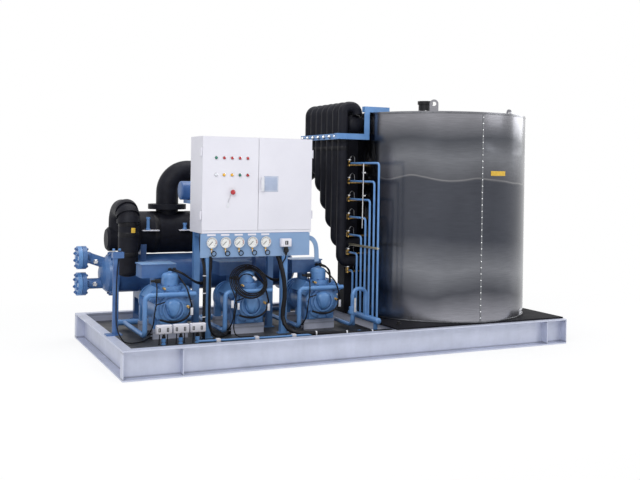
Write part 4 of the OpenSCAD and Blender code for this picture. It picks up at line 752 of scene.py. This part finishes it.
def door_plate():
    """A bare plate with a fine border and four screws beside the latch."""
    made = Kit("door_plate")
    x0, x1 = PLATE_X, PLATE_X + PLATE_SIDE
    z0, z1 = PLATE_Z, PLATE_Z + PLATE_SIDE
    made.use(PLATE_GREY).box((x0, DOOR_Y - 0.0032, z0), (x1, DOOR_Y - 0.0004, z1), 0.0012)
    left, right, low, high = x0 + BORDER_IN, x1 - BORDER_IN, z0 + BORDER_IN, z1 - BORDER_IN
    for a, b, c, d in ((left, low, right, low + BORDER_W), (left, high - BORDER_W, right, high),
                       (left, low, left + BORDER_W, high), (right - BORDER_W, low, right, high)):
        made.use(LIGHT).box((a, DOOR_Y - 0.0036, b), (c, DOOR_Y - 0.003, d), 0.0002)
    for x in (x0 + SCREW_IN, x1 - SCREW_IN):
        for z in (z0 + SCREW_IN, z1 - SCREW_IN):
            made.use(ZINC).lathe((x, DOOR_Y - 0.003, z), FRONT, SMALL_SCREW, 10)
    made.done("right_door", "light_plastic")


def louvre_blades():
    """Level blades on the cabinet's left side."""
    made = Kit("louvre_blades").use(WHITE)
    for i in range(LOUVRE_COUNT):
        z = LOUVRE_LOW + LOUVRE_PITCH * i
        made.box((0.7612, 0.672, z - 0.002), (0.7628, 0.856, z + 0.01), 0.0004)
    made.done(slot="white_paint")


def door_gap_shade():
    """The grey strip in the gap along the left door's free edge: painted shade of the door gap."""
    made = Kit("left_door_edge").use(SHADOW)
    made.box((1.2405, DOOR_Y + 0.004, 1.025), (1.2438, DOOR_Y + 0.018, 1.775), 0.0008)
    made.done("left_door", "black_plastic")


# Gauge panel

GAUGE_COUNT, GAUGE_X, GAUGE_PITCH, GAUGE_Z = 5, 0.844, 0.117, 0.923
DIAL_Y = PANEL_Y - 0.0132
DIAL_FACE = mm((0, 0), (39.6, 0), (39.6, 0.4), (0, 0.6))
SCALE_START, SCALE_SWEEP, TICKS, TICKS_A_STEP = 225, 270, 40, 5
TICK_OUT, TICK_IN, LONG_TICK_IN = 0.0355, 0.032, 0.0285
RED_IN, RED_OUT, RED_PARTS, RED_FROM, RED_TO = 0.0362, 0.0385, 30, 22, 28
GAUGE_STEM = mm((6, -2), (6, 6), (9, 7), (9, 17), (5.5, 18), (4.5, 34), (0, 34))
LOOP_R, LOOP_Z, LOOP_STEPS = 0.0195, 0.833, 32


def scale_angle(part):
    return radians(SCALE_START - SCALE_SWEEP * part)


def dial_point(x, r, a, aside=0.0):
    """A point just over a dial's face, at a radius and an angle, moved aside along its circle."""
    c, s = cos(a), sin(a)
    return (x + r * c - aside * s, DIAL_Y - 0.0003, GAUGE_Z + r * s + aside * c)


def dial_marks(made, x):
    """Ticks all round a dial, every fifth one longer, and a red arc near its end."""
    for k in range(TICKS + 1):
        long = k % TICKS_A_STEP == 0
        inner, half = (LONG_TICK_IN, 0.0009) if long else (TICK_IN, 0.0005)
        corners = ((inner, -half), (TICK_OUT, -half), (TICK_OUT, half), (inner, half))
        made.use(BLACK).plate([dial_point(x, r, scale_angle(k / TICKS), t) for r, t in corners], 0.0006)
    arc = [scale_angle(k / RED_PARTS) for k in range(RED_FROM, RED_TO)]
    for a, b in zip(arc, arc[1:]):
        corners = ((RED_IN, a), (RED_OUT, a), (RED_OUT, b), (RED_IN, b))
        made.use(RED).plate([dial_point(x, r, t) for r, t in corners], 0.0005)


def capillary(made, x):
    """A gauge's capillary tube: a short run from its stem into one and a half turns."""
    loop = []
    for k in range(LOOP_STEPS + 1):
        a = radians(90 + 540 * k / LOOP_STEPS)
        out = 0.006 + 0.005 * k / LOOP_STEPS
        loop.append((x + 0.021 + LOOP_R * cos(a), PANEL_Y - out, LOOP_Z + LOOP_R * sin(a)))
    made.use(SHEATH).tube(loop, 0.0032, 8)
    run = [(0.0, 0.012, 0.846), (0.003, 0.01, 0.838), (0.012, 0.007, 0.8505), (0.021, 0.006, 0.8525)]
    made.wire([(x + along, PANEL_Y - out, z) for along, out, z in run], 0.0028)


def gauge_dials():
    """White dials with ticks, brass stems under the cases and bare white plates above them."""
    made = Kit("gauge_dials")
    for i in range(GAUGE_COUNT):
        x = GAUGE_X + GAUGE_PITCH * i
        made.use(DIAL).lathe((x, DIAL_Y, GAUGE_Z), FRONT, DIAL_FACE, 40)
        dial_marks(made, x)
        made.use(BRASS).lathe((x, PANEL_Y - 0.012, GAUGE_Z - 0.0445), DOWN, GAUGE_STEM, 12)
        low, high = (x - 0.036, PANEL_Y - 0.0022, 0.9755), (x + 0.036, PANEL_Y - 0.0002, 0.9905)
        made.use(WHITE).box(low, high, 0.0006)
        capillary(made, x)
    made.done(slot="gauge_case")


CONTROL_COUNT, CONTROL_X, CONTROL_PITCH = 3, 0.366, 0.136
CONTROL_W, CONTROL_FRONT, CONTROL_BACK = 0.124, 0.45, 0.498
CONTROL_LOW, CONTROL_TOP = 0.234, 0.304
CONTROL_SCREWS = ((0.008, 0.244), (0.116, 0.244), (0.008, 0.294), (0.116, 0.294), (0.062, 0.244))
SCREW_HEAD = mm((3, 0), (2.6, 1.2), (0, 1.6))
UNION = mm((18.5, 0), (18.5, 10), (12, 14), (12, 22), (18, 24), (18, 48), (12, 52))
UNION_SLEEVE = mm((15, 52), (15, 64), (10.5, 68), (10.5, 85))
FLOOR_GROMMET = mm((0, -1), (9, -1), (9, 3), (6, 7), (0, 7))
CONTROL_WIRE = mm((0, 480, 236), (0, 482, 205), (0, 488, 176), (0, 490, 1000 * FLOOR_TOP - 1))
SWITCH_GLAND = mm((17, 0), (17, 20), (22, 24), (22, 46), (12, 52), (9, 70), (0, 70))


def control_box(made, x):
    """A box with two dark windows on a union fitting, its wires going into the floor."""
    front = CONTROL_FRONT
    made.use(WHITE).box((x, front + 0.004, CONTROL_LOW), (x + CONTROL_W, CONTROL_BACK, CONTROL_TOP), 0.004)
    low = (x + 0.002, front, CONTROL_LOW + 0.004)
    high = (x + CONTROL_W - 0.002, front + 0.008, CONTROL_TOP - 0.004)
    made.use(WHITE).box(low, high, 0.003)
    for mid in (x + 0.022, x + 0.088):
        made.use(BLACK).box((mid - 0.009, front - 0.0012, 0.254), (mid + 0.009, front + 0.001, 0.284), 0.001)
        made.use(LIGHT).box((mid - 0.002, front - 0.002, 0.258), (mid + 0.002, front - 0.0008, 0.28), 0.0006)
    for along, z in CONTROL_SCREWS:
        made.use(ZINC).lathe((x + along, front, z), FRONT, SCREW_HEAD, 10)
    foot = (x + CONTROL_W / 2, 0.474, FLOOR_TOP)
    made.use(BLUE).lathe(foot, UP, UNION, 6)
    made.use(BLACK).lathe(foot, UP, UNION_SLEEVE, 16)
    for wire_x in (x + 0.03, x + 0.094):
        made.wire(beside(wire_x, CONTROL_WIRE), 0.004)
        made.use(BLACK).lathe((wire_x, 0.49, FLOOR_TOP), UP, FLOOR_GROMMET, 14)


def panel_switch(made):
    """The pressure switch on the panel: a box with a window, and a gland with its wire."""
    front = PANEL_Y
    made.use(WHITE).box((1.442, front - 0.044, 0.879), (1.534, front, 0.947), 0.004)
    made.use(WHITE).box((1.446, front - 0.047, 0.883), (1.53, front - 0.04, 0.943), 0.003)
    made.use(BLACK).box((1.474, front - 0.0485, 0.897), (1.502, front - 0.046, 0.929), 0.001)
    made.use(LIGHT).box((1.484, front - 0.0495, 0.902), (1.489, front - 0.048, 0.925), 0.0006)
    made.use(BLACK).lathe((1.492, front - 0.024, 0.88), DOWN, SWITCH_GLAND, 18)
    made.wire([(1.492, front - 0.024, 0.812), (1.488, front - 0.02, 0.78), (1.47, front - 0.01, 0.745),
               (1.455, front - 0.004, 0.7)], 0.0055)


def instruments():
    """Three control boxes near the floor's front edge, and the switch on the panel."""
    made = Kit("control_set")
    for i in range(CONTROL_COUNT):
        control_box(made, CONTROL_X + CONTROL_PITCH * i)
    panel_switch(made)
    made.done(slot="light_plastic", replaces=("instruments",))


# Compressors and piping

HEAD_Y, HEAD_Z, HEAD_H = CASTING_Y + 0.095, AXLE_Z + 0.175, 0.102
HEAD_BOLTS_R, COVER_BOLTS_R = 0.081, 0.139
HEAD_NUT = mm((22, -2), (22, 6), (16, 8), (16, 12), (0, 12))
LID_Y, LID_Z = CASTING_Y + 0.165, AXLE_Z + 0.34
SIDE_FITTING = mm((12, -30), (12, 12), (8, 14), (8, 30), (11, 32), (11, 42), (0, 42))
UPPER_FITTING = mm((10, -20), (10, 20), (7, 22), (7, 40), (0, 40))
SIDE_PORT = mm((30, 12), (30, 30), (21, 34), (21, 58))
NOSE_STEPS = 28
# Reach of the nose from the casting's front, and the share of its full outline there
NOSE_RINGS = ((0.016, 1.16), (0.046, 1.0), (0.057, 0.86), (0.062, 0.58))
# Wires by distance along X from the compressor's axis, then plan Y and height
HEATER_CABLE = mm((-118, 604, 322), (-60, 600, 306), (8, 598, 300), (80, 600, 318), (122, 604, 360),
                  (134, 602, 416))
BOX_WIRE = mm((60, 776, 664), (78, 690, 618), (94, 614, 572), (106, 586, 526), (128, 586, 450),
              (136, 596, 420))
SENSOR_WIRE = mm((-80, 612, 458), (-116, 600, 450), (-150, 598, 438), (-162, 598, 381), (-172, 602, 290),
                 (-188, 624, 230), (-198, 664, 200), (-190, 706, 192), (-160, 726, 191), (-110, 728, 191))
PLUG_WIRE = mm((-120, 700, 604), (-134, 660, 594), (-143, 618, 574), (-150, 591, 535), (-153, 588, 485),
               (-155, 595, 444))
LIGHT_TAGS = (((1.008, 0.556, 0.392), (1.03, 0.566, 0.452)), ((1.062, 0.556, 0.376), (1.08, 0.566, 0.43)))


def head_trim(made, x):
    """Bolts and a nut on the top cylinder head, and the lid of the terminal box with its screws."""
    head = (x, HEAD_Y, HEAD_Z)
    # The head bolts take the shaded blue: painted shade.
    made.use(SHADE_BLUE).bolt_circle(head, UP, HEAD_BOLTS_R, count=8, start=22, size=0.0075, head=0.009)
    made.use(CASTING).lathe((x, HEAD_Y, HEAD_Z + HEAD_H), UP, HEAD_NUT, 6)
    for k in range(6):
        made.use(ZINC).bolt((x - 0.196 + 0.05 * k, LID_Y + 0.003, LID_Z), UP, 0.0035, 0.003)
    made.use(PALE_BLUE).box((x - 0.219, LID_Y, LID_Z), (x + 0.075, LID_Y + 0.194, LID_Z + 0.0025), 0.001)


def cover_nose(made, x):
    """The raised shield-shaped middle of an end cover."""
    rings = []
    for out, grow in NOSE_RINGS:
        ring = []
        for k in range(NOSE_STEPS):
            a = 2 * pi * k / NOSE_STEPS
            r = grow * (0.06 - 0.012 * cos(2 * a))
            across = r * cos(a) * (1 + 0.35 * sin(a))
            at = plan(x - 0.004 + across, CASTING_Y - out, AXLE_Z + 0.006 + r * sin(a))
            ring.append(made.bm.verts.new(at))
        rings.append(ring)
    made.use(CASTING).skin(rings, NOSE_STEPS).cap(rings)


def compressor_wires(made, x):
    """The heater cable under the cover, the wires of its sensors, a plug and a tag."""
    made.wire(beside(x, HEATER_CABLE), 0.0085, 10)
    made.wire(beside(x, BOX_WIRE), 0.0065)
    made.wire(beside(x, SENSOR_WIRE), 0.0055)
    made.use(BLACK).box((x - 0.136, 0.69, 0.6), (x - 0.09, 0.722, 0.632), 0.004)
    made.use(BLACK).box((x - 0.17, 0.694, 0.608), (x - 0.136, 0.716, 0.626), 0.003)
    made.wire(beside(x, PLUG_WIRE), 0.005)
    front = CASTING_Y - 0.066
    made.use(LIGHT).box((x + 0.128, front, AXLE_Z - 0.05), (x + 0.15, front + 0.014, AXLE_Z + 0.01), 0.002)


def compressor_trim():
    """Bolts, fittings, noses and wires of the three compressors, and two tags."""
    made = Kit("compressor_trim")
    for x in COMPRESSORS_X:
        head_trim(made, x)
        made.use(BRASS).lathe((x + 0.12, CASTING_Y - 0.004, AXLE_Z + 0.012), FRONT, SIDE_FITTING, 6)
        made.use(BRASS).lathe((x - 0.07, CASTING_Y + 0.02, AXLE_Z + 0.16), FRONT, UPPER_FITTING, 6)
        cover_nose(made, x)
        compressor_wires(made, x)
        # The cover bolts take the shaded blue: painted shade.
        made.use(SHADE_BLUE)
        cover = (x, CASTING_Y, AXLE_Z)
        made.bolt_circle(cover, FRONT, COVER_BOLTS_R, count=10, start=0, size=0.0065, head=0.008)
        made.use(CASTING).lathe((x + 0.122, CASTING_Y + 0.035, AXLE_Z + 0.117), FRONT, SIDE_PORT, 18)
    for low, high in LIGHT_TAGS:
        made.use(LIGHT).box(low, high, 0.002)
    made.done(slot="blue_paint")


CIRCUITS, CIRCUIT_LOW, CIRCUIT_PITCH = 7, 0.615, 0.16
VALVE_X, VALVE_Y = 2.23, 0.88
LINE_X, LINE_Y, LINE_PITCH = 2.217, 0.33, 0.075
SUCTION_X, SUCTION_Y, SUCTION_PITCH = 2.12, 0.8, 0.115
ROD_X, CLIP_Z = 2.2135, 0.867
VALVE_CAP = mm((23.5, -11), (23.5, 1), (17, 4), (8, 7), (0, 7))
VALVE_NUT = mm((12.5, -4), (12.5, 14), (9.8, 18), (9.2, 24))
# A valve's capillary by distance from the valve along X and Y, and height over its circuit
VALVE_CAPILLARY = mm((8, 0, 58), (32, 0, 85), (60, 10, 70), (70, 20, 20), (90, 25, 2))
PIPE_PLUG = mm((17, -6), (17, 10), (12, 14), (8, 22), (0, 22))


def line_trim():
    """Valve caps, nuts and capillaries, a guide rod, the liquid lines' clips and the suction pipes' plugs."""
    made = Kit("line_trim")
    for k in range(CIRCUITS):
        z = CIRCUIT_LOW + CIRCUIT_PITCH * k
        made.use(ZINC).lathe((VALVE_X, VALVE_Y, z + 0.052), UP, VALVE_CAP)
        made.use(BRASS).lathe((VALVE_X, VALVE_Y - 0.016, z + 0.015), FRONT, VALVE_NUT, 6)
        route = [(VALVE_X + along, VALVE_Y + back, z + rise) for along, back, rise in VALVE_CAPILLARY]
        made.use(STEEL).tube(smooth(route), 0.0018, 6)
    made.use(ZINC).tube([(ROD_X, 0.573, 1.588), (ROD_X, 0.583, 1.024)], 0.005)
    for z in (1.1, 1.3, 1.5):
        made.use(STEEL).box((2.206, 0.57, z), (2.236, 0.59, z + 0.012), 0.001)
    made.use(PALE_BRASS).box((2.2085, 0.3, CLIP_Z - 0.009), (2.2205, 0.83, CLIP_Z + 0.009), 0.002)
    for k in range(CIRCUITS):
        y = LINE_Y + LINE_PITCH * k
        corners = ((0, -0.011), (0.023, -0.011), (0.023, 0.011), (0, 0.011))
        made.use(ZINC).tube([(LINE_X + along, y + back, CLIP_Z) for along, back in corners], 0.0018, 6)
    for k in range(CIRCUITS):
        made.use(ZINC).lathe((2.052, SUCTION_Y + SUCTION_PITCH * k, 1.825), LEFT, PIPE_PLUG, 12)
    made.done(slot="zinc_steel")


def tape_ring(radius, proud, width):
    """The profile of a tape ring on a pipe of one radius."""
    return [(radius, 0), (radius + proud, 0.002), (radius + proud, width - 0.002), (radius, width)]


def pipe_tape():
    """Tape rings on the accumulator, the standpipe and the suction pipes."""
    made = Kit("pipe_tape").use(TAPE)
    for x in (0.62, 0.94, 1.24, 1.52):
        made.lathe((x, 1.64, 0.944), RIGHT, tape_ring(0.1872, 0.0014, 0.048), 64)
    for z in (0.76, 0.93, 1.02):
        made.lathe((0.33, 1.26, z), UP, tape_ring(0.0852, 0.0012, 0.042), 40)
    for k in range(CIRCUITS):
        y = SUCTION_Y + SUCTION_PITCH * k
        for z in (1.78, 1.7 if k < CIRCUITS - 1 else 1.79):
            made.lathe((SUCTION_X, y, z), UP, tape_ring(0.0452, 0.001, 0.04), 32)
    made.done(slot="pipe_insulation")


CONDENSER_Y, CONDENSER_Z, CONDENSER_BOLTS_R = 1.6, 0.586, 0.178
COVER_PLUG = mm((21, -12), (21, 14), (17, 17), (17, 30), (0, 30))
STUB_Y, STUB_Z = 1.438, 0.974


def condenser_trim():
    """Bolts and plugs at the condenser's ends, a yellow tag, and two blue stubs on white plates."""
    # The end bolts take the shaded blue: painted shade.
    made = Kit("condenser_trim").use(SHADE_BLUE)
    for x, axis in ((0.25, LEFT), (1.91, RIGHT)):
        end = (x, CONDENSER_Y, CONDENSER_Z)
        made.bolt_circle(end, axis, CONDENSER_BOLTS_R, count=16, start=11, size=0.01, head=0.012)
    for x, z in ((0.117, 0.7), (0.112, 0.505)):
        made.use(ZINC).lathe((x, 1.553, z), FRONT, COVER_PLUG, 6)
    made.use(YELLOW_PAINT).box((0.332, 1.1725, 0.97), (0.366, 1.1742, 1.012), 0.0006)
    for x, top in ((0.545, 1.088), (0.878, 1.034)):
        made.use(WHITE).box((x - 0.05, 1.41, STUB_Z - 0.008), (x + 0.098, 1.48, STUB_Z + 0.001), 0.002)
        h = top - STUB_Z
        stub = [(0, 0), (0.02, 0), (0.02, 0.012), (0.014, 0.016), (0.014, h - 0.02), (0.018, h - 0.016),
                (0.018, h), (0, h)]
        made.use(BLUE).lathe((x, STUB_Y, STUB_Z), UP, stub, 16)
    made.done(slot="blue_paint")


FLOOR_LINE = mm((700, 462, 162), (900, 440, 162), (1300, 420, 162), (2050, 390, 162), (2110, 400, 168))
SHEET_PLUG = mm((24, -1), (24, 4), (15, 7), (15, 22), (10, 26), (0, 26))


def floor_trim():
    """A thin blue line along the floor's front edge in white clips, and a plug on the base sheet."""
    made = Kit("floor_line")
    made.use(BLUE).tube(FLOOR_LINE, 0.009)
    for x in (0.86, 1.18, 1.5, 1.82):
        y = 0.44 - 0.05 * (x - 0.9)
        low, high = (x - 0.016, y - 0.022, FLOOR_TOP + 0.0005), (x + 0.016, y + 0.022, FLOOR_TOP + 0.028)
        made.use(WHITE).box(low, high, 0.003)
    made.done(slot="blue_paint")
    plug = Kit("sheet_plug").use(BLACK)
    plug.lathe((2.386, 0.23, TANK_LOW + 0.0005), UP, SHEET_PLUG, 16)
    plug.done(slot="black_plastic")


POST_WIRE = mm((106, 625, 812), (94, 620.5, 700), (89, 620, 550), (90, 620, 350), (97, 607, 275),
               (112, 595, 226), (145, 590, 175), (196, 592, 158), (256, 604, 157), (312, 644, 156),
               (350, 702, 157), (384, 742, 159), (420, 752, 160), (460, 753, 160))
POST_CABLE = mm((836, 590, 812), (836, 592, 700), (834, 592, 500), (834, 592, 330), (838, 590, 256),
                (858, 586, 200), (898, 590, 168), (946, 608, 161.5), (988, 648, 161.5), (1020, 700, 161.5),
                (1058, 740, 161.5), (1110, 750, 161.5), (1150, 750, 161.5))
BENT_BAR = mm((1712, 640, 946), (1752, 640, 938), (1784, 640, 906), (1800, 640, 852), (1806, 640, 740))
BUNDLE_CLIP = mm((19.2, -6), (21.5, -5), (21.5, 5), (19.2, 6))
SIDE_CLIP = mm((13.2, -4), (15, -3), (15, 3), (13.2, 4))


def loose_wiring():
    """The left post's wire and bolts, the cabinet post's second cable and the bent bar beside the panel."""
    made = Kit("post_wiring")
    made.wire(POST_WIRE, 0.0048)
    made.wire(POST_CABLE, 0.011, 12)
    for x in (0.07, 0.116):
        made.use(CASTING).bolt((x, 0.65, 0.8735), UP, 0.01, 0.014)
    made.use(PANEL_BLUE).strip(smooth(BENT_BAR), 0.04, 0.006)
    made.done(slot="cable_rubber")


def cable_clips():
    """Light bands round the cable bundle and the side cable."""
    made = Kit("cable_clips").use(LIGHT)
    for x, y in ((1.7, 0.4035), (1.95, 0.335), (2.17, 0.296)):
        made.lathe((x, y, 0.17), (0.96, -0.25, 0), BUNDLE_CLIP)
    for z in (0.33, 0.52, 0.66):
        made.lathe((0.786, 0.585, z), UP, SIDE_CLIP, 16)
    made.done(slot="light_plastic")


coiled_lead()
motor_leads()
tank_seams()
tank_bands()
tank_plates()
drive_trim()
pilot_lamps()
key_chain()
door_plate()
louvre_blades()
door_gap_shade()
gauge_dials()
instruments()
compressor_trim()
line_trim()
pipe_tape()
condenser_trim()
floor_trim()
loose_wiring()
cable_clips()

# Stage: a white floor that keeps the shadow, a white world and soft lamps


def make_world():
    """White to the camera, and a soft cool light on the machine."""
    world = bpy.data.worlds.new("studio")
    scene.world = world
    s = Tree(world)
    ambient = s.tree.nodes["Background"]
    ambient.inputs["Color"].default_value = (0.92, 0.95, 1.0, 1.0)
    ambient.inputs["Strength"].default_value = 0.42
    white = s.node("ShaderNodeBackground", {"Color": (1.0, 1.0, 1.0, 1.0)})
    mix = s.node("ShaderNodeMixShader")
    s.link(s.seen_rays(), mix.inputs["Fac"])
    s.link(ambient.outputs["Background"], mix.inputs[1])
    s.link(white.outputs["Background"], mix.inputs[2])
    s.link(mix.outputs["Shader"], s.tree.nodes["World Output"].inputs["Surface"])


def make_floor():
    """A white floor that keeps a soft shadow."""
    mesh = bpy.data.meshes.new("floor")
    reach = 30.0
    corners = [(-reach, -reach, 0), (reach, -reach, 0), (reach, reach, 0), (-reach, reach, 0)]
    mesh.from_pydata(corners, [], [(0, 1, 2, 3)])
    floor = add("floor", mesh)
    s = Surface("floor", (0.97, 0.97, 0.97), 0.9)
    white = s.node("ShaderNodeEmission")
    far = s.node("ShaderNodeVectorMath", operation="LENGTH")
    s.link(s.place((0.3, 0.45, 0)), far.inputs[0])
    fade = s.node("ShaderNodeMapRange", {"From Min": 0.8, "From Max": 1.6, "To Min": 0.8, "To Max": 1.0})
    s.link(far.outputs["Value"], fade.inputs["Value"])
    part = s.math("MULTIPLY", s.seen_rays(), fade.outputs["Result"])
    mix = s.node("ShaderNodeMixShader")
    s.link(part, mix.inputs["Fac"])
    s.link(s.shader.outputs["BSDF"], mix.inputs[1])
    s.link(white.outputs["Emission"], mix.inputs[2])
    s.link(mix.outputs["Shader"], s.tree.nodes["Material Output"].inputs["Surface"])
    mesh.materials.append(s.material)


def make_lamp(name, at, target, size, power):
    data = bpy.data.lights.new(name, "AREA")
    data.shape = "RECTANGLE"
    data.size, data.size_y = size
    data.energy = power
    lamp = add(name, data)
    lamp.location = at
    lamp.rotation_euler = (Vector(target) - Vector(at)).to_track_quat("-Z", "Y").to_euler()


make_world()
make_floor()
make_lamp("key", (-5.0, -6.0, 6.0), target=(0.0, 0.0, 0.8), size=(4.0, 3.0), power=350.0)
make_lamp("fill", (5.5, -5.0, 4.0), target=(1.0, 0.0, 1.0), size=(3.0, 3.0), power=110.0)
make_lamp("side", (7.5, 0.1, 3.0), target=(1.2, 0.0, 1.6), size=(3.6, 2.0), power=70.0)
make_lamp("top", (0.0, 0.5, 7.0), target=(0.0, 0.0, 0.0), size=(6.0, 4.0), power=260.0)

scene.view_settings.view_transform = "Standard"
